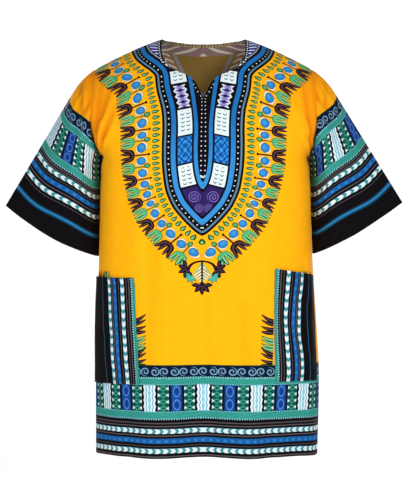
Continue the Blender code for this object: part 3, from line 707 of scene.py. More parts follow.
# lines of the print on each panel's flat cut, in millimetres from its middle and its hem; mirrored
neckPrint = {
    "front": {
        # outer edge of the frame round the neck, from its lower tip to the shoulder
        "frameLine": (
            (0.0, 390.4), (8.4, 395.2), (21.8, 406.8), (37.7, 423.4), (50.9, 439.9), (59.2, 456.2),
            (65.1, 472.5), (68.4, 490.6), (71.4, 517.2), (72.2, 550.0), (72.8, 589.8), (75.6, 613.0),
            (80.9, 631.1), (86.4, 648.4), (90.3, 666.2), (93.4, 680.2), (101.2, 688.4), (117.1, 701.1),
            (134.8, 718.2), (149.4, 743.0), (158.6, 762.0),
        ),
        # outer edge of the inner band that follows the slit, from its tip up
        "slitLine": (
            (0.0, 471.5), (6.0, 480.0), (11.8, 497.0), (15.0, 517.0), (16.2, 540.0), (16.9, 594.0),
            (22.4, 632.0), (31.0, 670.0), (38.0, 700.0),
        ),
        "neckLine": (
            (0.0, 498.0), (0.0, 641.0), (9.5, 653.0), (19.2, 667.8), (31.8, 678.4), (47.2, 684.8),
            (62.2, 692.5), (74.6, 704.1), (85.3, 724.3), (93.1, 745.6), (99.2, 767.3), (104.3, 783.5),
        ),
        # along the frame line, how many degrees a stem falls below the level
        "stemAngles": (
            (0, 90), (1.5, 62.5), (3, 45), (26, 39.8), (50, 35.5), (69, 31.8), (89, 27), (101, 20.6),
            (116, 14.3), (132, 10.2), (152, 7.8), (172, 6.5), (217, 8.8), (246, 15.3), (272, 22.5),
            (305, 30.3), (331, 33), (359, 30.8), (381, 27), (425, 25),
        ),
        # along the frame line, count of flower pairs and of seeds
        "tulips": (
            (0, 0), (1.5, 0.25), (3, 0.5), (26, 1), (50, 1.5), (69, 2), (89, 2.5), (101, 3), (116, 3.5),
            (132, 4), (152, 4.5), (172, 5), (198, 5.5), (217, 6), (246, 6.5), (272, 7), (305, 7.5),
            (331, 8), (359, 8.5), (381, 9), (425, 10),
        ),
        "seeds": (
            (0, 0), (2, 0.5), (9.8, 1), (55, 5), (110, 11), (164, 17), (215, 22), (249, 25), (269, 27),
            (294, 30), (330, 33), (370, 36.4), (425, 41.4),
        ),
        "tip": 390.0,
        "lean": 2.7,             # how far the print leans to the left at its tip
        "closer": 0.12,          # the ring of flowers is drawn in by this share round the tip
    },
    "back": {
        "frameLine": (
            (0.0, 574.0), (14.0, 580.0), (32.0, 592.0), (50.0, 609.0), (66.0, 630.0), (80.0, 655.0),
            (92.0, 682.0), (104.0, 706.0), (117.0, 727.0), (130.0, 745.0), (144.0, 764.0),
        ),
        "slitLine": (
            (0.0, 640.0), (14.0, 648.0), (28.0, 664.0), (40.0, 686.0), (52.0, 714.0), (66.0, 746.0),
            (80.0, 780.0),
        ),
        "neckLine": (
            (0.0, 752.5), (30.0, 754.0), (53.4, 759.4), (70.9, 764.8), (80.6, 772.0), (88.0, 782.0),
        ),
        "stemAngles": ((0, 90), (2, 66), (5, 52), (30, 47), (70, 40), (120, 34), (180, 30), (250, 28)),
        "tulips": (
            (0, 0), (2, 0.25), (5, 0.5), (30, 1), (55, 1.5), (77, 2), (100, 2.5), (122, 3), (250, 5.9),
        ),
        "seeds": ((0, 0), (3, 0.5), (12, 1), (40, 3.5), (120, 11.2), (250, 23.5)),
        "tip": 574.0,
        "lean": 0.0,
        "closer": 0.0,
    },
    "leanFrom": 640.0,           # heights where the lean begins, and over which it grows
    "leanOver": 250.0,
    "closeUntil": 90.0,          # places along the frame line
    "closeFade": 80.0,
}

# the printed border: where each stripe begins, in millimetres from the edge of the cloth
borderPrint = {
    "hem": {
        "stripes": (
            (0.0, "black"), (2.4, "grey"), (3.8, "black"), (9.3, "pool"), (17.1, "black"), (20.7, "grey"),
            (22.1, "black"), (26.4, "rowBlue"), (35.2, "black"), (39.1, "grey"), (40.5, "black"),
            (44.6, "pool"), (52.4, "black"), (56.3, "grey"), (57.7, "black"), (61.9, "grey"),
            (62.9, "black"), (70.4, "teal"), (84.0, "tealDark"), (130.8, "teal"), (143.8, "navy"),
            (165.2, "leaf"), (166.6, "yellow"),
        ),
        "arrows": ((13.2, 3.9), (48.5, 3.9)), "arrowPeriod": 13.4, "dashes": (30.8, 4.4),
        "teals": ((70.4, 84.0), (130.8, 143.8)), "blocks": (84.0, 130.8), "waves": 11.7, "ovals": 2,
        "curls": 154.5, "curlRadius": 8.5, "curlPeriod": 17.1, "top": 166.6, "glow": None,
    },
    "cuff": {
        "stripes": (
            (0.0, "black"), (63.2, "grey"), (64.6, "black"), (69.9, "pool"), (77.7, "black"),
            (82.6, "grey"), (84.0, "black"), (88.7, "rowBlue"), (97.5, "black"), (100.7, "grey"),
            (102.1, "black"), (106.6, "pool"), (114.4, "black"), (116.6, "grey"), (117.8, "black"),
            (121.2, "grey"), (122.4, "black"), (126.4, "teal"), (140.0, "tealDark"), (192.7, "teal"),
            (204.6, "navy"), (227.0, "leaf"), (228.5, "yellow"),
        ),
        "arrows": ((73.8, 3.9), (110.5, 3.9)), "arrowPeriod": 12.0, "dashes": (93.1, 4.4),
        "teals": ((126.4, 140.0), (192.7, 204.6)), "blocks": (140.0, 192.7), "waves": 10.54, "ovals": 3,
        "curls": 215.6, "curlRadius": 8.5, "curlPeriod": 17.1, "top": 228.5, "glow": (39.5, 6.5),
    },
    "pocket": {
        "stripes": (
            (0.0, "teal"), (6.0, "black"), (9.6, "grey"), (10.8, "black"), (14.6, "grey"),
            (15.8, "black"), (20.5, "pool"), (27.5, "black"), (31.0, "grey"), (32.1, "black"),
            (36.4, "rowBlue"), (43.2, "black"), (45.8, "grey"), (46.9, "black"), (50.0, "pool"),
            (56.0, "black"), (71.0, "line"), (73.2, "black"),
        ),
        "arrows": ((24.0, 3.5), (53.0, 3.0)), "arrowPeriod": 15.0, "dashes": (39.8, 3.4),
        "teals": ((-6.0, 6.0),), "top": 300.0,
    },
    "blockPeriod": 95.5,
    # columns of a block, from its middle out: waves, lozenges and ovals
    "blockColumns": (
        (0.0, "white"), (11.2, "black"), (14.8, "tealDark"), (34.2, "black"), (35.0, "navy"),
        (38.8, "blockBlue"),
    ),
    "waveLines": ((0.0, 2.2, "ice"), (6.0, 1.1, "stream")),      # middle, half width, colour
    "waveEdge": (10.6, 14.8),
    "waveSway": 0.8,
    "lozengeMiddle": 24.4,
    "lozengeReach": 9.3,
    "lozenges": ((0.47, "mintTeal"), (0.20, "tealDark")),        # shares of a wave's length
    "ovalFrom": 38.8,
    "ovalHalfWidth": 6.6,
    "ovalHalfHeight": 0.42,              # share of the height that each oval has
    "ovalRings": ((1.0, "ring"), (0.78, "blockBlue"), (0.52, "ovalBlue")),
    "arrowSlant": 0.85,
    "arrowShares": (0.27, 0.41),         # where white ends and the gap begins, as shares of the period
    "tickSpacing": 4.4,
    "tickSize": (1.4, 0.95),             # half length and half width
    "curlPitch": 0.66,                   # from one turn of a curl to the next, as a share of its radius
    "curlLine": 0.22,
    "toothHeight": 1.5,                  # of the teeth under the curls, as a share of the same
    "hemAllowance": 5.0,                 # the print of the neck is measured from this far above the hem
    "sleeveStretch": 0.66,               # the sleeves' print is drawn wider by this share
    "sleeveStarts": {-1: -16.7, 1: -52.7},
    "sleeveSway": 3.0,
}


def ink(name):
    shares = [value / 255 for value in inks[name]]
    return tuple(s / 12.92 if s <= 0.04045 else ((s + 0.055) / 1.055) ** 2.4 for s in shares) + (1.0,)


def addNode(tree, kind, inputs, **settings):
    # what comes from another node is linked, and a plain value is set
    node = tree.nodes.new(kind)
    for name, value in settings.items():
        setattr(node, name, value)
    for place, value in inputs.items():
        if isinstance(value, bpy.types.NodeSocket):
            tree.links.new(value, node.inputs[place])
        else:
            node.inputs[place].default_value = value
    return node


class Signal:
    # a number in a shader: arithmetic on it adds Math nodes
    def __init__(self, tree, socket):
        self.tree = tree
        self.socket = socket

    def math(self, operation, *others):
        values = [value.socket if isinstance(value, Signal) else value for value in (self, *others)]
        node = addNode(self.tree, "ShaderNodeMath", dict(enumerate(values)), operation=operation)
        return Signal(self.tree, node.outputs[0])

    def __add__(self, other):
        return self.math("ADD", other)

    def __sub__(self, other):
        return self.math("SUBTRACT", other)

    def __mul__(self, other):
        return self.math("MULTIPLY", other)

    def __truediv__(self, other):
        return self.math("DIVIDE", other)

    def __abs__(self):
        return self.math("ABSOLUTE")

    def __neg__(self):
        return self.math("MULTIPLY", -1.0)

    def __and__(self, other):
        return self.math("MULTIPLY", other)

    def __or__(self, other):
        return self.math("MAXIMUM", other)

    def least(self, other):
        return self.math("MINIMUM", other)

    def above(self, limit):
        return self.math("GREATER_THAN", limit)

    def below(self, limit):
        return self.math("LESS_THAN", limit)

    def between(self, low, high):
        return self.math("COMPARE", (low + high) / 2, (high - low) / 2)

    def near(self, centre, half):
        return self.math("COMPARE", centre, half)

    def fold(self, period):
        # distance to the nearest whole number of periods
        return self.math("PINGPONG", period / 2)

    def wrapped(self, period):
        return self.math("WRAP", period / 2, -period / 2)

    def power(self, exponent):
        return self.math("POWER", exponent)

    def sine(self):
        return self.math("SINE")


def rounded(a, b):
    return (a * a + b * b).math("SQRT")


class Dye:
    # the colour of a cloth's print, laid down one ink over another
    def __init__(self, tree, colour):
        self.tree = tree
        self.colour = colour

    def over(self, mask, colour):
        top = ink(colour) if isinstance(colour, str) else colour
        inputs = {"Factor": mask.socket, 6: self.colour, 7: top}
        self.colour = addNode(self.tree, "ShaderNodeMix", inputs, data_type="RGBA").outputs[2]


def ramp(signal, stops, top):
    # inks by the value of a signal, from 0 to top
    node = addNode(signal.tree, "ShaderNodeValToRGB", {})
    node.color_ramp.interpolation = "CONSTANT"
    elements = node.color_ramp.elements
    while len(elements) < len(stops):
        elements.new(1.0)
    for element, (place, colour) in zip(elements, stops):
        element.position = place / top
        element.color = ink(colour)
    signal.tree.links.new((signal / top).socket, node.inputs["Fac"])
    return node.outputs["Color"]


def readPlaces(tree, name):
    read = addNode(tree, "ShaderNodeAttribute", {}, attribute_name=name)
    split = addNode(tree, "ShaderNodeSeparateXYZ", {0: read.outputs["Vector"]})
    return [Signal(tree, output) for output in split.outputs]


def arrowBand(dye, along, across, centre, half, period):
    # white arrows that point to the middle of the cloth
    off = abs(across - centre)
    slant = (abs(along) - off * borderPrint["arrowSlant"]).fold(period)
    white, gap = borderPrint["arrowShares"]
    dye.over(off.below(half) & slant.below(period * white), "white")
    dye.over(off.below(half) & slant.above(period * gap), "teal")


def tealBand(dye, along, across, low, high):
    # a mottled band with ticks across both edges
    inside = across.between(low, high)
    mottle = (along * 1.15 + across * 0.8).sine() * (across * 1.5 - along * 0.9).sine()
    dye.over((inside & mottle.above(0.1)) * 0.75, "tealLight")
    dye.over((inside & mottle.below(-0.45)) * 0.6, "tealDark")
    long, wide = borderPrint["tickSize"]
    for edge in (low, high):
        tick = along.fold(borderPrint["tickSpacing"]).below(wide)
        dye.over(across.near(edge, long) & tick, "ice")


def stripes(dye, along, across, plan):
    # along runs with the stripes, and across counts from the edge of the cloth
    dye.over(across.below(plan["top"]), ramp(across.math("MAXIMUM", 0.0), plan["stripes"], 230.0))
    period = plan["arrowPeriod"]
    for centre, half in plan["arrows"]:
        arrowBand(dye, along, across, centre, half, period)
    centre, half = plan["dashes"]
    dye.over((across.near(centre, half * 0.5) & along.fold(period).below(period * 0.2)) * 0.55, "sky")
    for low, high in plan["teals"]:
        tealBand(dye, along, across, low, high)


def curlBand(dye, x, y, plan):
    # spirals; every other one is turned over
    period = plan["curlPeriod"]
    radius = plan["curlRadius"]
    off = y - plan["curls"]
    turned = (x + period / 2).wrapped(period * 2).math("SIGN")
    u = x.wrapped(period)
    away = rounded(u, off * 1.1)
    turn = (off * turned).math("ARCTAN2", u * turned) / (2 * math.pi)
    spiral = (away / (radius * borderPrint["curlPitch"]) - turn + 0.12).fold(1.0)
    spiral = spiral.below(borderPrint["curlLine"])
    dye.over(spiral & away.between(radius * 0.2, radius), "curl")
    foot = (x + period / 2).wrapped(period)
    lowest = radius * borderPrint["toothHeight"]
    tooth = (abs(foot) * 1.6 + off + lowest).below(2.4) & off.between(-lowest, -radius)
    dye.over(tooth, "ice")


def blockRow(dye, x, y, plan):
    # white waves, lozenges and blue ovals, block by block
    low, high = plan["blocks"]
    half = borderPrint["blockPeriod"] / 2
    across = x.fold(borderPrint["blockPeriod"])
    inside = y.between(low, high)
    up = y - low
    wave = plan["waves"]
    dye.over(inside, ramp(across, borderPrint["blockColumns"], 50.0))
    sway = (up * (2 * math.pi / wave)).sine() * borderPrint["waveSway"]
    for centre, width, colour in borderPrint["waveLines"]:
        dye.over(inside & (across + sway).near(centre, width), colour)
    dye.over(inside & (across + sway).between(*borderPrint["waveEdge"]), "black")
    # lozenges
    middle = abs(across - borderPrint["lozengeMiddle"])
    tall = (up + wave * 0.5).fold(wave)
    lozenge = middle * 0.58 + tall
    inGreen = inside & middle.below(borderPrint["lozengeReach"])
    for share, colour in borderPrint["lozenges"]:
        dye.over(inGreen & lozenge.below(wave * share), colour)
    dye.over(inGreen & (middle * -0.72 + tall).below(-3.4) & middle.above(4.4), "white")
    # ovals
    tallest = (high - low) / plan["ovals"]
    wide, tall = borderPrint["ovalHalfWidth"], borderPrint["ovalHalfHeight"]
    oval = rounded((across - half) / wide, (up - tallest / 2).fold(tallest) / (tallest * tall))
    inBlue = inside & across.above(borderPrint["ovalFrom"])
    for size, colour in borderPrint["ovalRings"]:
        dye.over(inBlue & oval.below(size), colour)


def border(dye, x, y, kind):
    plan = borderPrint[kind]
    stripes(dye, x, y, plan)
    if plan["glow"]:
        centre, half = plan["glow"]
        near = (abs(y - centre) / half).math("SUBTRACT", 1.0).math("MINIMUM", 0.0)
        dye.over(near.math("ABSOLUTE").power(1.8), "glow")
        dye.over(y.near(centre + 0.8, 0.8) * 0.5, "sky")
    blockRow(dye, x, y, plan)
    curlBand(dye, x, y, plan)


def evenly(table, step=0.5):
    # points a step apart along a smooth line through a table's points, and how far along each one is
    corners = np.array(table, float)
    length = np.append(0.0, np.cumsum(np.hypot(*np.diff(corners, axis=0).T)))
    places = np.arange(0.0, length[-1], step)
    line = np.stack([smoothCurve(length, corners[:, axis], places) for axis in (0, 1)], axis=1)
    return line, places


def crossed(a, b):
    return a[:, 0] * b[:, 1] - a[:, 1] * b[:, 0]


def lineDistance(points, line, step=0.5):
    # signed distance to a line, above zero on its left as it runs, and the place along it
    flow = np.gradient(line, axis=0)
    flow /= np.linalg.norm(flow, axis=1, keepdims=True)
    reach = np.zeros(len(points))
    place = np.zeros(len(points))
    for start in range(0, len(points), 4000):
        some = slice(start, start + 4000)
        gaps = points[some][:, None, :] - line[None, :, :]
        nearest = np.argmin(np.sum(gaps**2, axis=2), axis=1)
        gap = gaps[np.arange(len(nearest)), nearest]
        way = flow[nearest]
        along = np.clip(np.sum(gap * way, axis=1), -step, step)
        foot = gap - way * along[:, None]
        reach[some] = np.where(crossed(way, gap) >= 0, 1, -1) * np.linalg.norm(foot, axis=1)
        place[some] = nearest * step + along
    return reach, place


def ringPlaces(points, plan, line, places):
    # for each point outside the frame line: how far along it its stem starts, and how far out it lies
    angles = np.array(plan["stemAngles"], float)
    tilt = np.radians(np.interp(places, angles[:, 0], angles[:, 1]))
    outs = np.arange(-6.0, 112.0, 2.0)
    none = 200.0                             # how far out a point lies that no stem reaches

    def spot(s, d):
        base = np.stack([np.interp(s, places, line[:, axis]) for axis in (0, 1)], axis=1)
        turn = np.interp(s, places, tilt)
        return base + d[:, None] * np.stack([np.cos(turn), -np.sin(turn)], axis=1)

    # the nearest of a grid of places first, and then the point itself, in a few steps
    s = np.repeat(places, len(outs))
    d = np.tile(outs, len(places))
    tree = KDTree(len(s))
    for index, (x, y) in enumerate(spot(s, d)):
        tree.insert((x, y, 0.0), index)
    tree.balance()
    found = np.array([tree.find((x, y, 0.0))[1] for x, y in points])
    s, d = s[found], d[found]
    for _ in range(4):
        here = spot(s, d)
        alongStep = (spot(s + 0.25, d) - spot(s - 0.25, d)) / 0.5
        outStep = spot(s, d + 1.0) - here
        miss = points - here
        size = crossed(alongStep, outStep)
        size = np.where(np.abs(size) < 1e-3, 1e-3, size)
        s = np.clip(s + np.clip(crossed(miss, outStep) / size, -2, 2), 0.0, places[-1])
        d = d + np.clip(crossed(alongStep, miss) / size, -2, 2)
    lost = np.linalg.norm(spot(s, d) - points, axis=1) > 6.0
    return s, np.where(lost, none, d)


def threeWide(*columns):
    # a vector for each point, filled up with zeros
    columns = [np.ravel(column) for column in columns]
    columns += [np.zeros(len(columns[0]))] * (3 - len(columns))
    return np.stack(columns, axis=1)


def panelPlaces(side, flat):
    # where each point of a panel lies in the print: on the cloth, from its lines, and in the ring
    plan = neckPrint[side]
    points = flat.reshape(-1, 2)
    raised = points[:, 1] - borderPrint["hemAllowance"]
    leaning = plan["lean"] * ease((neckPrint["leanFrom"] - raised) / neckPrint["leanOver"])
    mirrored = np.stack([np.abs(points[:, 0] + leaning), raised], axis=1)
    line, places = evenly(plan["frameLine"])
    depth, along = lineDistance(mirrored, line)
    slitDepth, _ = lineDistance(mirrored, evenly(plan["slitLine"])[0])
    neckDistance, neckAlong = lineDistance(mirrored, evenly(plan["neckLine"])[0])
    s, out = ringPlaces(mirrored, plan, line, places)
    closer = 1 - ease((s - neckPrint["closeUntil"]) / neckPrint["closeFade"])
    flowers, seedCount = [np.interp(s, *np.array(plan[name], float).T) for name in ("tulips", "seeds")]
    return {
        "cloth": threeWide(points[:, 0], points[:, 1], along),
        "ring": threeWide(flowers, out * (1 + plan["closer"] * closer), seedCount),
        "depths": threeWide(depth, slitDepth, np.abs(neckDistance)),
        "around": threeWide(neckAlong),
    }


# flowers, berries and seeds round the neck; heights count outwards from the frame's edge
ringPrint = {
    "span": 46.0,                # from one flower to the next of its colour
    "flowers": (16.0, 92.0),     # lowest and highest point of a flower with its stem
    "fingersFrom": 54.0,
    "fingerLength": 24.0,
    # outer fingers: distance from the stem and lean; inner fingers: the same; half width
    "brownFingers": (8.0, 4.6, 2.9, 1.8, 3.1),
    "greenFingers": (7.0, 1.6, 2.4, 0.7, 2.7),
    "brownStem": (22.0, 50.0),
    "greenStem": (28.0, 50.0),
    "berryHeight": 36.0,
    "berrySize": (7.7, 8.4),
    "berryReach": 14.0,
    "crescentSize": (7.4, 7.6),
    "crescents": ((1.7, -3.4), (-2.0, 3.0)),     # where the light round a berry is moved to
    "seeds": (2.4, 15.0),        # foot and length
    "seedSpacing": 10.4,
    "seedWidth": 9.6,
}


def fingers(a, d, shape):
    # a flower that opens outwards from its stem: how deep a point lies inside its cup or one
    # of its four fingers, and how far it is from the nearer finger's middle line
    outerAt, outerLean, innerAt, innerLean, wide = shape
    across = abs(a)
    t = ((d - ringPrint["fingersFrom"]) / ringPrint["fingerLength"]).math("MAXIMUM", 0.0)
    taper = t.power(5.0) * -1.0 + 1.0
    outerGap = abs(across - (t * t * outerLean + outerAt))
    innerGap = abs(across - (t * innerLean + innerAt))
    cup = (rounded(a / (outerAt + 2.6), (d - 56.4) / 8.6) * -1.0 + 1.0) * 9.0
    cup = cup.least(d * -1.0 + 58.5)
    outer = taper * wide - outerGap - (d - 76.5).math("MAXIMUM", 0.0)
    inner = taper * (wide * 0.86) - innerGap
    depth = (outer | inner).least((d - 56.0) * 2.0) | cup
    return depth, outerGap.least(innerGap)


def brownFlower(dye, mask, a, d):
    depth, middle = fingers(a, d, ringPrint["brownFingers"])
    stem = a.near(0.0, 1.25) & d.between(*ringPrint["brownStem"])
    knob = rounded(a / 2.5, (d - 22.5) / 2.2)
    dye.over(mask & (depth.above(0.0) | stem | knob.below(1.0)), "brown")
    veins = middle.below(0.5) & d.between(57.0, 74.5)
    rim = rounded(a / 6.6, (d - 57.4) / 5.6).near(1.0, 0.1) & d.below(58.0)
    pale = veins | rim
    dye.over(mask & depth.above(0.6) & pale, "dust")


def greenFlower(dye, mask, a, d):
    depth, middle = fingers(a, d, ringPrint["greenFingers"])
    stem = a.near(0.0, 1.0) & d.between(*ringPrint["greenStem"])
    leafShape = rounded((a - 1.4) / 4.6, (d - 26.0) / 6.0)
    dye.over(mask & (depth.above(0.0) | stem | leafShape.below(1.0)), "leaf")
    dye.over(mask & (depth.above(0.95) | leafShape.below(0.62)), "mint")
    dye.over(mask & depth.above(0.95) & middle.below(0.45) & d.between(55.0, 73.0), "lightMint")


def tulips(dye, phase, d):
    # brown and green flowers by turns, each on a stem
    span = ringPrint["span"]
    inRing = d.between(*ringPrint["flowers"])
    greenFlower(dye, inRing, (phase + 0.5).wrapped(1.0) * span, d)
    brownFlower(dye, inRing & phase.above(0.5), phase.wrapped(1.0) * span, d)


def berries(dye, phase, d):
    # one blue berry between each two flowers, with cream light on two sides
    a = (phase + 0.25).wrapped(0.5) * ringPrint["span"]
    middle = ringPrint["berryHeight"]
    near = d.between(middle - ringPrint["berryReach"], middle + ringPrint["berryReach"])
    wide, tall = ringPrint["crescentSize"]
    for shiftA, shiftD in ringPrint["crescents"]:
        crescent = rounded((a - shiftA) / wide, (d - (middle + shiftD)) / tall)
        dye.over(near & crescent.below(1.07), "rust")
        dye.over(near & crescent.below(0.97), "cream")
    wide, tall = ringPrint["berrySize"]
    berry = rounded(a / wide, (d - middle) / tall)
    dye.over(near & berry.below(1.0), "tealDark")
    dye.over(near & berry.below(0.88), "berry")
    dye.over(near & rounded((a - 0.8) / 3.8, (d - 34.8) / 4.0).below(1.0), "sky")


def seeds(dye, count, d):
    foot, length = ringPrint["seeds"]
    a = abs(count.wrapped(1.0)) * ringPrint["seedSpacing"]
    h = ((d - foot) / length).math("MAXIMUM", 0.0).least(1.0)
    width = h * (h * -1.0 + 1.0).math("SQRT") * ringPrint["seedWidth"]
    dye.over((width - a).above(0.0) & d.between(foot, foot + length), "leaf")
    dye.over((width - a).above(2.3) & d.between(5.4, 16.0), "lightMint")
    dye.over(rounded(a / 1.0, (d - 10.9) / 2.6).below(1.0), "mint")


def fanFlower(dye, mask, a, b, size, facing, outer, inner, vein=None):
    # a flower of five pointed petals that opens one way, round a middle point
    gap = 0.76                   # angle from one petal to the next
    turn = (b.math("ARCTAN2", a) - facing).wrapped(2 * math.pi)
    petal = abs(turn.wrapped(gap))
    away = rounded(a, b) / size
    edge = (petal * -1.05 + 1.0) * abs(turn).below(gap * 2.5)
    edge = edge | 0.26
    dye.over(mask & (edge - away).above(0.0), outer)
    dye.over(mask & (edge - away).above(0.13), inner)
    if vein:
        dye.over(mask & (petal * away).below(0.02) & away.between(0.16, 0.72) & edge.above(0.6), vein)


# the cluster that hangs from the ring's lowest point, in millimetres from its middle
tailPrint = {
    "reach": 50.0,
    "heights": (34.0, 112.0),    # how far below the tip of the frame line it begins and ends
    "archSize": (22.0, 12.0),
    "archMiddle": 56.0,
    "bladeMiddle": 69.0,
    "stem": (42.0, 84.0),
    # place across and down, size, way it opens, and the outer, inner and vein colours
    "pairs": (
        (25.0, 57.0, 18.0, 0.42, "brown", "aubergine", "dust"),
        (19.0, 71.5, 12.0, 0.95, "leaf", "tealLeaf"),
    ),
    "lowest": (85.5, 19.0, math.pi / 2, "brown", "aubergine", "dust"),
}


def tail(dye, x, y, tip):
    # arch, flowers and a ribbed stem
    side = abs(x)
    down = (y - tip) * -1.0
    near = side.below(tailPrint["reach"]) & down.between(*tailPrint["heights"])
    wide, tall = tailPrint["archSize"]
    arch = rounded(side / wide, (down - tailPrint["archMiddle"]) / tall)
    dye.over(near & arch.near(1.0, 0.13) & down.below(55.0), "brown")
    middle = tailPrint["bladeMiddle"]
    below = (down - middle).math("MAXIMUM", 0.0)
    blade = side * 1.15 + below * 2.0 + (down - middle) * -0.75
    dye.over(near & blade.below(19.0) & down.below(72.0), "mint")
    dye.over(near & blade.below(16.5), "cream")
    dye.over(near & blade.below(15.5) & (down - side * 0.8).fold(5.6).below(0.9), "leaf")
    dye.over(near & side.below(1.6) & down.between(*tailPrint["stem"]), "brown")
    for across, depth, *rest in tailPrint["pairs"]:
        fanFlower(dye, near, side - across, down - depth, *rest)
    depth, *rest = tailPrint["lowest"]
    fanFlower(dye, near, x, down - depth, *rest)


# finger tips of flowers that lie half under the pockets, in millimetres from the middle and hem
strayPrint = {
    "besideReach": (90.0, 124.0),
    "besideHeights": (156.0, 254.0),
    "greenHeight": 197.0,
    "brownHeights": (229.0, 170.0),
    "aboveReach": (176.0, 222.0),
    "aboveHeights": (302.0, 332.0),
    "brownAcross": 202.0,
    "greenAcross": 182.0,
}


def strayTips(dye, x, y):
    side = abs(x)
    beside = side.between(*strayPrint["besideReach"]) & y.between(*strayPrint["besideHeights"])
    d = side * -0.8 + 158.0
    bent = (d - 58.0) * (d - 58.0) * 0.016
    greenFlower(dye, beside, (y - strayPrint["greenHeight"]) * 0.85 - bent, d)
    for height in strayPrint["brownHeights"]:
        brownFlower(dye, beside, (y - height) * 0.8 - bent, d)
    above = side.between(*strayPrint["aboveReach"]) & y.between(*strayPrint["aboveHeights"])
    brownFlower(dye, above, (side - strayPrint["brownAcross"]) * 0.8, y * 0.8 - 183.0)
    greenFlower(dye, above, (side - strayPrint["greenAcross"]) * 0.85, y * 0.8 - 184.0)


# the blocks of the plastron beside the slit; heights count up the tilted cloth
plastronPrint = {
    "blocks": (
        (0.0, "purple"), (473.6, "black"), (476.5, "white"), (514.0, "black"), (517.0, "blue"),
        (565.5, "black"), (568.5, "white"), (615.5, "black"), (618.5, "black"), (662.0, "black"),
        (665.0, "white"), (690.0, "black"), (693.0, "navy"),
    ),
    "whiteBlocks": ((476.5, 514.0), (568.5, 615.5), (665.0, 690.0)),
    "markSpacing": 7.3,
    "markColumn": (4.9, 3.5),    # distance from the blocks' middle line, and half width
    "lozengeBlock": (619.5, 661.0),
    "lozengeHeight": 640.2,
    "lozengeSpacing": 10.9,
    "lozengeRings": ((4.2, "lilac"), (2.6, "purple"), (1.3, "navy")),
    "zigzagEdges": ((10.6, "white"), (12.2, "black")),
    "flakedBlock": (518.0, 564.5),
    "tilt": -0.25,
    "middle": 41.0,              # how deep inside the frame line the middle of the blocks lies
    "frameStripes": (
        (0.0, "black"), (4.2, "steel"), (7.4, "black"), (16.0, "blue"), (24.2, "black"),
        (28.0, "violetNight"),
    ),
    "blueStripe": (16.0, 24.2),
    "ground": 28.0,              # how deep inside the frame line the stripes end
    "slitBand": -3.4,            # distances from the slit's line
    "slitStripe": (0.0, 6.6),
    "ladder": (0.6, 3.4),
    "ladderTop": 630.0,
    "collarFrom": 696.0,         # height on the front
    "collarDepth": 28.0,         # distance from the neck's edge on the back
    # rows of dots: distance from their line, spacing and radius
    "frameDots": (11.8, 10.1, 1.2),
    "neckDots": (3.6, 8.4, 1.1),
    "collarDots": (3.2, 6.0, 1.4),
    "shoulderDots": (30.6, 6.0, 1.4),
    "footTop": 472.0,
    # place across and height, size and way of the scrolls in the foot
    "scrolls": ((16.5, 459.0, 11.0, 1.0), (8.5, 440.5, 8.0, -1.0)),
    "heartHeight": 420.0,
}


def plastronBlocks(dye, mask, depth, y):
    # blocks from the top down, each a little tilted
    tilted = y + depth * plastronPrint["tilt"] + 9.0
    dye.over(mask, ramp(tilted, plastronPrint["blocks"], 800.0))
    centre = depth - plastronPrint["middle"]
    off = abs(centre)
    # small marks in two columns on white
    column, half = plastronPrint["markColumn"]
    hook = (tilted - (off - column) * (off - column) * 0.19).fold(plastronPrint["markSpacing"])
    hook = hook.below(1.05) & off.near(column, half)
    for low, high in plastronPrint["whiteBlocks"]:
        dye.over(mask & tilted.between(low + 3.0, high - 2.5) & hook, "mark")
    # lozenges between two zigzags
    zigzag = mask & tilted.between(*plastronPrint["lozengeBlock"])
    tall = (tilted - plastronPrint["lozengeHeight"]).fold(plastronPrint["lozengeSpacing"])
    lozenge = off * 0.42 + tall
    dye.over(zigzag & off.below(10.4), "paleLilac")
    for size, colour in plastronPrint["lozengeRings"]:
        dye.over(zigzag & lozenge.below(size), colour)
    dye.over(zigzag & off.above(3.6) & lozenge.near(5.0, 0.75), "white")
    for reach, colour in plastronPrint["zigzagEdges"]:
        dye.over(zigzag & (off + tall * 0.9).above(reach), colour)
    # a flaked pattern on blue
    flake = mask & tilted.between(*plastronPrint["flakedBlock"])
    v = abs(tilted - 541.2)
    blotch = (off * 0.72 + 0.4).sine() * (v * 0.5 + 0.6).sine() + (off * 0.9 + v * 0.8).sine() * 0.5
    dye.over(flake & blotch.below(-0.35), "deepBlue")
    dye.over(flake & blotch.above(0.42), "sky")


def scrolls(dye, mask, x, y):
    # scrolls and a heart in the pointed foot
    side = abs(x)
    for centreX, centreY, size, way in plastronPrint["scrolls"]:
        a = side - centreX
        b = y - centreY
        away = rounded(a, b)
        turn = b.math("ARCTAN2", a) * (way / (2 * math.pi))
        spiral = (away / (size * 0.4) - turn).fold(1.0).below(0.2)
        dye.over(mask & away.below(size) & spiral, "lilac")
    middle = plastronPrint["heartHeight"]
    heart = side.below(11.0) & (side * 1.1 + abs(y - middle)).near(9.5, 0.9)
    dye.over(mask & heart & y.below(middle + 4.0), "lilac")


def dots(away, along, row):
    place, spacing, radius = plastronPrint[row]
    return rounded(away - place, along.fold(spacing)).below(radius)


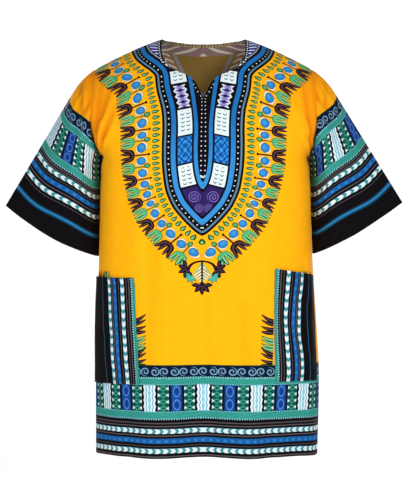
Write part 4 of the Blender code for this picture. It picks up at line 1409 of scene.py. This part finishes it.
def frameRound(dye, x, y, along, depth, slitDepth, neckDistance, neckAlong, side):
    # stripes inside the frame line, the plastron, the bands beside the slit and the collar
    inside = depth.above(0.0)
    dye.over(inside, ramp(depth, plastronPrint["frameStripes"], 60.0))
    azure = (y * -0.01 + 6.0).math("MAXIMUM", 0.0).least(1.0)
    dye.over((depth.between(*plastronPrint["blueStripe"]) & azure) * 0.8, "sky")
    dye.over(dots(depth, along, "frameDots"), "white")
    plastron = depth.above(plastronPrint["ground"]) & slitDepth.below(plastronPrint["slitBand"])
    if side == "front":
        plastronBlocks(dye, plastron, depth, y)
        scrolls(dye, plastron & y.below(plastronPrint["footTop"]), x, y)
    else:
        wave = (along + abs(depth - 37.0) * 1.3).fold(14.0)
        dye.over(plastron & depth.below(46.0) & wave.below(2.2), "white")
        dye.over(plastron & depth.below(46.0) & wave.near(4.4, 0.8), "lilac")
        dye.over(depth.near(48.5, 0.9) & plastron, "steel")
    # bands beside the slit
    dye.over(inside & slitDepth.above(plastronPrint["slitBand"]), "black")
    dye.over(inside & slitDepth.between(*plastronPrint["slitStripe"]), "blue")
    dye.over((inside & slitDepth.between(*plastronPrint["slitStripe"]) & azure) * 0.8, "sky")
    ladder = (y + x * 0.2).fold(3.4).below(0.6) & abs(x).between(*plastronPrint["ladder"])
    if side == "front":
        beside = inside & slitDepth.above(9.0)
        dye.over(beside & ladder & y.below(plastronPrint["ladderTop"]), "violetNight")
    atNeck = dots(neckDistance, neckAlong, "neckDots")
    dye.over(inside & slitDepth.above(7.0) & atNeck, "white")
    collar = depth.above(plastronPrint["ground"])
    if side == "front":
        collar = collar & y.above(plastronPrint["collarFrom"])
    else:
        collar = collar & neckDistance.below(plastronPrint["collarDepth"])
    dye.over(collar & depth.above(33.0) & neckDistance.above(6.5), "collar")
    stroke = (neckAlong * 0.8 + depth * 0.62).fold(9.0).below(1.3)
    dye.over(collar & stroke & neckDistance.above(6.0) & depth.above(33.5), "white")
    if side == "front":
        dye.over(collar & dots(depth, along + 2.0, "shoulderDots"), "white")
    dye.over(collar & dots(neckDistance, neckAlong, "collarDots"), "white")


# rows of stitches, in metres
stitching = {
    "spacing": 0.0034,
    "length": 0.0026,
    "thickness": 0.0006,
    "hemWidth": 0.018,         # how far from the edge a hem or cuff is sewn down
    "neckWidth": 0.0045,
    "pocketWidth": 0.0030,
    "mouthWidth": 0.0140,
    "lift": 0.00012,
}

clothLook = {
    "roughness": 0.78,
    "sheen": 0.02,
    "threadSpacing": 0.62,     # millimetres between threads of the weave
    "weaveHeight": 0.05,
    "weaveStrength": 0.35,
    "weaveShade": 0.03,        # how much threads and slubs change the colour
    "slubShade": 0.16,
    "slubScale": 90.0,
    "paintedShadeStrength": 0.78,           # painted shade: how much deeper the yellow is painted along seams, in folds and at the caps
    "insideFade": 0.32,        # how much paler the print is on the inside
    "insideColour": (238, 196, 104),
}


def newMaterial(name):
    material = bpy.data.materials.new(name)
    material.use_nodes = True
    return material, material.node_tree, material.node_tree.nodes["Principled BSDF"]


def linked(name, data):
    thing = bpy.data.objects.new(name, data)
    bpy.context.scene.collection.objects.link(thing)
    return thing


def clothMaterial(name, paint, insideOut=False, sewnHem=1.0):
    material, tree, shader = newMaterial(name)
    x, y, along = readPlaces(tree, "cloth")
    ground = addNode(tree, "ShaderNodeRGB", {})
    ground.outputs[0].default_value = ink("yellow")
    dye = Dye(tree, ground.outputs[0])
    # painted shade: the yellow turns amber in the troughs of folds, along seams and at the sleeves' caps
    paintedShadeAmount, _, _ = readPlaces(tree, "paintedShade")
    dye.over(paintedShadeAmount * clothLook["paintedShadeStrength"], "shadeAmber")
    paint(dye, x, y, along)
    # threads: alternate warp and weft
    spacing = clothLook["threadSpacing"]
    warp = (x * (math.pi / spacing)).sine()
    weft = (y * (math.pi / spacing)).sine()
    weave = warp * weft
    noise = addNode(tree, "ShaderNodeTexNoise", {"Scale": clothLook["slubScale"], "Detail": 4.0})
    places = addNode(tree, "ShaderNodeTexCoord", {})
    tree.links.new(places.outputs["Object"], noise.inputs["Vector"])
    slub = Signal(tree, noise.outputs["Fac"])
    shade = weave * clothLook["weaveShade"] + slub * clothLook["slubShade"] + 0.90
    shaded = {0: dye.colour, "Scale": shade.socket}
    colour = addNode(tree, "ShaderNodeVectorMath", shaded, operation="SCALE").outputs[0]
    if insideOut:
        pale = tuple(((v / 255) ** 2.2) for v in clothLook["insideColour"]) + (1.0,)
        fade = {"Factor": clothLook["insideFade"], 6: colour, 7: pale}
        colour = addNode(tree, "ShaderNodeMix", fade, data_type="RGBA").outputs[2]
    tree.links.new(colour, shader.inputs["Base Color"])
    relief = {"Strength": clothLook["weaveStrength"], "Distance": clothLook["weaveHeight"] / 1000}
    bump = addNode(tree, "ShaderNodeBump", relief)
    # the cloth puckers where a hem or cuff is sewn down
    sewnAt = (abs(y - stitching["hemWidth"] * 1000) / -3.0 + 1.0).math("MAXIMUM", 0.0)
    pucker = (x * 0.8 + slub * 9.0).sine() * 1.6 - 3.5
    tree.links.new((weave + slub * 0.8 + sewnAt * pucker * sewnHem).socket, bump.inputs["Height"])
    tree.links.new(bump.outputs["Normal"], shader.inputs["Normal"])
    shader.inputs["Roughness"].default_value = clothLook["roughness"]
    shader.inputs["Sheen Weight"].default_value = clothLook["sheen"]
    shader.inputs["Sheen Roughness"].default_value = 0.45
    shader.inputs["Sheen Tint"].default_value = (1.0, 0.9, 0.75, 1.0)
    shader.inputs["Specular IOR Level"].default_value = 0.05
    return material


def paintPanel(side):
    def paint(dye, x, y, along):
        raised = y - borderPrint["hemAllowance"]
        phase, d, seedCount = readPlaces(dye.tree, "ring")
        tulips(dye, phase, d)
        berries(dye, phase, d)
        seeds(dye, seedCount, d)
        tail(dye, x + neckPrint[side]["lean"], raised, neckPrint[side]["tip"])
        if side == "front":
            strayTips(dye, x, raised)
        depth, slitDepth, neckDistance = readPlaces(dye.tree, "depths")
        neckAlong, _, _ = readPlaces(dye.tree, "around")
        frameRound(dye, x, raised, along, depth, slitDepth, neckDistance, neckAlong, side)
        border(dye, x, y, "hem")
    return paint


def paintSleeve(dye, x, y, along):
    swayed = y + (x * 0.045).sine() * borderPrint["sleeveSway"]
    border(dye, x * borderPrint["sleeveStretch"], swayed, "cuff")


def paintPocket(dye, x, y, along):
    stripes(dye, y, x, borderPrint["pocket"])


def clothPiece(name, grid, places, outside, inside):
    # a thin shell: the outer grid, the same grid a cloth's thickness in, and the edges between
    points, normals = grid["points"], grid["normals"]
    rows, columns, _ = points.shape
    other = rows * columns
    inner = points - normals * meshDetail["clothThickness"]
    corners = np.concatenate([points.reshape(-1, 3), inner.reshape(-1, 3)])
    index = np.arange(other).reshape(rows, columns)
    squares = [index[:-1, :-1], index[:-1, 1:], index[1:, 1:], index[1:, :-1]]
    outer = np.stack(squares, axis=2).reshape(-1, 4)
    faces = [outer, outer[:, ::-1] + other]
    for line, flip in ((index[0], True), (index[-1], False), (index[:, 0], False), (index[:, -1], True)):
        rim = np.stack([line[:-1], line[1:], line[1:] + other, line[:-1] + other], axis=1)
        faces.append(rim[:, ::-1] if flip else rim)
    faces = np.concatenate(faces)
    # the outer faces look along the normals
    first = corners[faces[0]]
    way = np.cross(first[1] - first[0], first[3] - first[0])
    if way @ normals[0, 0] < 0:
        faces = faces[:, ::-1]
    mesh = bpy.data.meshes.new(name)
    mesh.from_pydata(corners.tolist(), [], faces.tolist())
    mesh.materials.append(outside)
    mesh.materials.append(inside)
    slots = np.zeros(len(faces), np.int32)
    slots[len(outer):2 * len(outer)] = 1
    mesh.polygons.foreach_set("material_index", slots)
    # painted shade, from 0 to 1, read by the material
    paintedShade = threeWide(np.clip(grid.get("paintedShade", np.zeros(other)), 0.0, 1.0))
    for label, values in {**places, "paintedShade": paintedShade}.items():
        attribute = mesh.attributes.new(label, "FLOAT_VECTOR", "POINT")
        attribute.data.foreach_set("vector", np.concatenate([values, values]).astype(np.float32).ravel())
    mesh.shade_smooth()
    mesh.set_sharp_from_angle(angle=math.radians(50))
    mesh.update()
    return linked(name, mesh)


def gridArea(points):
    a, b, c, d = points[:-1, :-1], points[:-1, 1:], points[1:, 1:], points[1:, :-1]
    return float(np.sum(np.linalg.norm(np.cross(c - a, d - b), axis=2)) / 2)


def flatCut(name, grid):
    flat = grid["flat"].reshape(-1, 2) / 1000
    width, length = map(float, flat.max(axis=0) - flat.min(axis=0))
    area = gridArea(grid["points"])
    print(f"{name}: flat {width * 1000:.0f} x {length * 1000:.0f} mm, {area:.3f} m2")
    return (width, length), min(area, width * length)


def addPiece(name, nodeNames, grid, places, outside, inside):
    # a sheet of cloth, the solids it stands for and its flat cut
    piece = clothPiece(name, grid, places, outside, inside)
    flat, area = flatCut(name, grid)
    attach(piece, "root")
    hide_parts(*nodeNames)


def stitchTree():
    # small rounded stitches, one after another along every line of a mesh
    tree = bpy.data.node_groups.new("stitchRow", "GeometryNodeTree")
    kinds = {
        "Geometry": "NodeSocketGeometry",
        "Spacing": "NodeSocketFloat",
        "Stitch Length": "NodeSocketFloat",
        "Thickness": "NodeSocketFloat",
        "Thread": "NodeSocketMaterial",
    }
    sockets = {}
    for name, kind in kinds.items():
        sockets[name] = tree.interface.new_socket(name, in_out="INPUT", socket_type=kind).identifier
    tree.interface.new_socket("Geometry", in_out="OUTPUT", socket_type="NodeSocketGeometry")
    source = addNode(tree, "NodeGroupInput", {}).outputs
    curve = addNode(tree, "GeometryNodeMeshToCurve", {"Mesh": source["Geometry"]}).outputs["Curve"]
    resample = {"Curve": curve, "Length": source["Spacing"]}
    spaced = addNode(tree, "GeometryNodeResampleCurve", resample, mode="LENGTH")
    stitch = addNode(tree, "GeometryNodeMeshUVSphere", {"Segments": 6, "Rings": 4, "Radius": 0.5})
    vary = {2: 0.88, 3: 1.08, "Seed": 7}
    varied = addNode(tree, "FunctionNodeRandomValue", vary, data_type="FLOAT")
    lengths = {0: source["Stitch Length"], 1: varied.outputs[1]}
    length = addNode(tree, "ShaderNodeMath", lengths, operation="MULTIPLY").outputs[0]
    thickness = source["Thickness"]
    size = addNode(tree, "ShaderNodeCombineXYZ", {"X": thickness, "Y": thickness, "Z": length})
    way = addNode(tree, "GeometryNodeInputTangent", {}).outputs["Tangent"]
    turned = addNode(tree, "FunctionNodeAlignRotationToVector", {"Vector": way}, axis="Z")
    placed = addNode(tree, "GeometryNodeInstanceOnPoints", {
        "Points": spaced.outputs["Curve"],
        "Instance": stitch.outputs["Mesh"],
        "Rotation": turned.outputs["Rotation"],
        "Scale": size.outputs["Vector"],
    })
    real = addNode(tree, "GeometryNodeRealizeInstances", {"Geometry": placed.outputs["Instances"]})
    dress = {"Geometry": real.outputs["Geometry"], "Material": source["Thread"]}
    dyed = addNode(tree, "GeometryNodeSetMaterial", dress)
    addNode(tree, "NodeGroupOutput", {"Geometry": dyed.outputs["Geometry"]})
    return tree, sockets


def threadMaterial(name, colour):
    material, tree, shader = newMaterial(name)
    places = addNode(tree, "ShaderNodeTexCoord", {}).outputs["Object"]
    twist = addNode(tree, "ShaderNodeTexNoise", {"Scale": 900.0, "Vector": places})
    shades = addNode(tree, "ShaderNodeValToRGB", {"Fac": twist.outputs["Fac"]})
    shades.color_ramp.elements[0].color = tuple(0.7 * v for v in ink(colour)[:3]) + (1.0,)
    shades.color_ramp.elements[1].color = ink(colour)
    tree.links.new(shades.outputs["Color"], shader.inputs["Base Color"])
    shader.inputs["Roughness"].default_value = 0.6
    shader.inputs["Specular IOR Level"].default_value = 0.2
    shader.inputs["Sheen Weight"].default_value = 0.05
    return material


def edgeLine(grid, distance, fromTop=False, picks=None):
    # a line across a grid of cloth, at a distance from its bottom or top edge
    points = grid["points"] + grid["normals"] * stitching["lift"]
    points = points[::-1] if fromTop else points
    if picks is not None:
        points = points[:, picks]
    away = lengthsAlong(points, 0)
    edge = np.gradient(points[0], axis=0)
    down = points[1] - points[0]
    slant = np.linalg.norm(np.cross(edge, down), axis=1)
    slant /= np.linalg.norm(edge, axis=1) * np.linalg.norm(down, axis=1)
    reach = distance / np.clip(slant, 0.4, 1.0)
    reach[1:-1] = np.maximum(reach[1:-1], np.minimum(reach[:-2], reach[2:]))
    line = np.empty_like(points[0])
    for column in range(len(line)):
        for axis in range(3):
            line[column, axis] = np.interp(reach[column], away[:, column], points[:, column, axis])
    return line


def sewn(name, lines, thread):
    # lines are pairs: the places along one, and whether it closes on itself
    corners = []
    edges = []
    for line, closed in lines:
        start, count = len(corners), len(line)
        corners += line.tolist()
        edges += [(start + i, start + (i + 1) % count) for i in range(count if closed else count - 1)]
    mesh = bpy.data.meshes.new(name)
    mesh.from_pydata(corners, edges, [])
    piece = linked(name, mesh)
    tree, sockets = stitchRow
    modifier = piece.modifiers.new("stitches", "NODES")
    modifier.node_group = tree
    modifier[sockets["Spacing"]] = stitching["spacing"]
    modifier[sockets["Stitch Length"]] = stitching["length"]
    modifier[sockets["Thickness"]] = stitching["thickness"]
    modifier[sockets["Thread"]] = thread
    graph = bpy.context.evaluated_depsgraph_get()
    made = bpy.data.meshes.new_from_object(piece.evaluated_get(graph), depsgraph=graph)
    piece.modifiers.remove(modifier)
    piece.data = made
    made.shade_smooth()
    print(f"{name}: {len(made.polygons)} faces")
    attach(piece, "root")


stitchRow = stitchTree()
darkThread = threadMaterial("darkThread", "darkThread")
panels = {side: fullPanel(side) for side in ("front", "back")}
print("panels worked out")
for side, panel in panels.items():
    places = panelPlaces(side, panel["flat"])
    outside = clothMaterial(side + "Print", paintPanel(side))
    inside = clothMaterial(side + "Inside", paintPanel(side), insideOut=True)
    addPiece(side, (f"{side}_panel", f"{side}_yoke"), panel, places, outside, inside)
    neckPicks = np.flatnonzero(np.abs(panel["us"]) <= bodyShape["neckShare"])
    rows = [
        (edgeLine(panel, stitching["hemWidth"]), False),
        (edgeLine(panel, stitching["neckWidth"], fromTop=True, picks=neckPicks), False),
    ]
    sewn(side + "Stitches", rows, darkThread)
print("front and back made")

sleeveOutside = clothMaterial("sleevePrint", paintSleeve)
sleeveInside = clothMaterial("sleeveInside", paintSleeve, insideOut=True)
for direction, name, node in ((-1, "sleeveLeft", "sleeve_left"), (1, "sleeveRight", "sleeve_right")):
    sleeve = fullSleeve(direction)
    printed = sleeve["flat"] + (borderPrint["sleeveStarts"][direction], 0.0)
    places = {"cloth": threeWide(printed[:, :, 0], printed[:, :, 1])}
    addPiece(name, (node,), sleeve, places, sleeveOutside, sleeveInside)
    cuff = {key: sleeve[key][:, :-1] for key in ("points", "normals")}
    sewn(name + "Stitches", [(edgeLine(cuff, stitching["hemWidth"]), True)], darkThread)

pocketOutside = clothMaterial("pocketPrint", paintPocket, sewnHem=0.0)
pocketInside = clothMaterial("pocketInside", paintPocket, insideOut=True, sewnHem=0.0)
for name, node in (("pocketLeft", "pocket_left"), ("pocketRight", "pocket_right")):
    pocket = fullPocket(name, panels["front"])
    places = {"cloth": threeWide(pocket["printed"][:, :, 0], pocket["printed"][:, :, 1])}
    addPiece(name, (node,), pocket, places, pocketOutside, pocketInside)
    turned = {key: pocket[key].transpose(1, 0, 2) for key in ("points", "normals")}
    rows = [
        (edgeLine(pocket, stitching["pocketWidth"])[1:-1], False),
        (edgeLine(pocket, stitching["mouthWidth"], fromTop=True)[1:-1], False),
        (edgeLine(turned, stitching["pocketWidth"]), False),
        (edgeLine(turned, stitching["pocketWidth"], fromTop=True), False),
    ]
    sewn(name + "Stitches", rows, darkThread)
print("sleeves and pockets made")

stageLook = {
    "floorHeight": -1.45,
    "floorWidth": 11.0,
    "floorFrom": -5.0,
    "floorTo": 5.2,
    "floorRadius": 1.1,        # of the curve where the floor turns up
    "backdropHeight": 5.0,
    "cameraPlace": (0.0, -3.0, -0.20),
    "cameraAim": (0.0018, 0.0, -0.386),
    "focalLength": 118.9,
    "skyStrength": 0.38,
    "lightAim": (0.0, 0.0, -0.38),
    "backdropAim": (0.0, 5.2, -0.4),
    "lights": (
        # name, place, width and height, strength, colour
        ("keyLight", (1.05, -2.5, 0.5), (1.0, 1.0), 48.0, (1.0, 0.98, 0.95)),
        ("fillLight", (-1.3, -2.6, -0.6), (1.2, 1.4), 28.0, (1.0, 0.99, 0.97)),
        ("backdropLight", (0.0, 3.4, 1.8), (3.4, 1.0), 75.0, (1.0, 1.0, 1.0)),
        ("backKeyLight", (-1.2, 2.5, 0.5), (1.0, 1.0), 40.0, (1.0, 0.98, 0.95)),
        ("backFillLight", (1.4, 2.4, -0.4), (1.2, 1.4), 22.0, (1.0, 0.99, 0.97)),
    ),
}


def aimed(thing, place, aim):
    thing.location = place
    thing.rotation_euler = (Vector(aim) - Vector(place)).to_track_quat("-Z", "Y").to_euler()


def stageSurface():
    # a pale floor that curves up into a backdrop
    half = stageLook["floorWidth"] / 2
    low, paintedShadeAmount, radius = [stageLook[name] for name in ("floorHeight", "floorTo", "floorRadius")]
    profile = [(stageLook["floorFrom"], low), (paintedShadeAmount - radius, low)]
    for step in range(1, 13):
        angle = math.pi / 2 * step / 12
        profile.append((paintedShadeAmount - radius + radius * math.sin(angle), low + radius - radius * math.cos(angle)))
    profile.append((paintedShadeAmount, low + stageLook["backdropHeight"]))
    points = [(x, y, z) for y, z in profile for x in (-half, half)]
    faces = [(2 * i, 2 * i + 1, 2 * i + 3, 2 * i + 2) for i in range(len(profile) - 1)]
    mesh = bpy.data.meshes.new("floor")
    mesh.from_pydata(points, [], faces)
    mesh.shade_smooth()
    material, _, shader = newMaterial("floorPaper")
    shader.inputs["Base Color"].default_value = (0.93, 0.93, 0.93, 1.0)
    shader.inputs["Roughness"].default_value = 0.9
    mesh.materials.append(material)
    floor = linked("floor", mesh)


def softLight(name, place, size, strength, colour):
    data = bpy.data.lights.new(name, "AREA")
    data.shape = "RECTANGLE"
    data.size, data.size_y = size
    data.energy = strength
    data.color = colour
    lamp = linked(name, data)
    aimed(lamp, place, stageLook["backdropAim" if name == "backdropLight" else "lightAim"])


stageSurface()
for light in stageLook["lights"]:
    softLight(*light)
world = bpy.data.worlds.new("studio")
world.use_nodes = True
world.node_tree.nodes["Background"].inputs["Color"].default_value = (1.0, 1.0, 1.0, 1.0)
world.node_tree.nodes["Background"].inputs["Strength"].default_value = stageLook["skyStrength"]
bpy.context.scene.world = world
bpy.context.scene.view_settings.view_transform = "Standard"

cameraData = bpy.data.cameras.new("camera")
cameraData.sensor_fit = "VERTICAL"
cameraData.sensor_height = 36.0
cameraData.lens = stageLook["focalLength"]
camera = linked("camera", cameraData)
aimed(camera, stageLook["cameraPlace"], stageLook["cameraAim"])
bpy.context.scene.camera = camera
print("stage, lights and camera set")
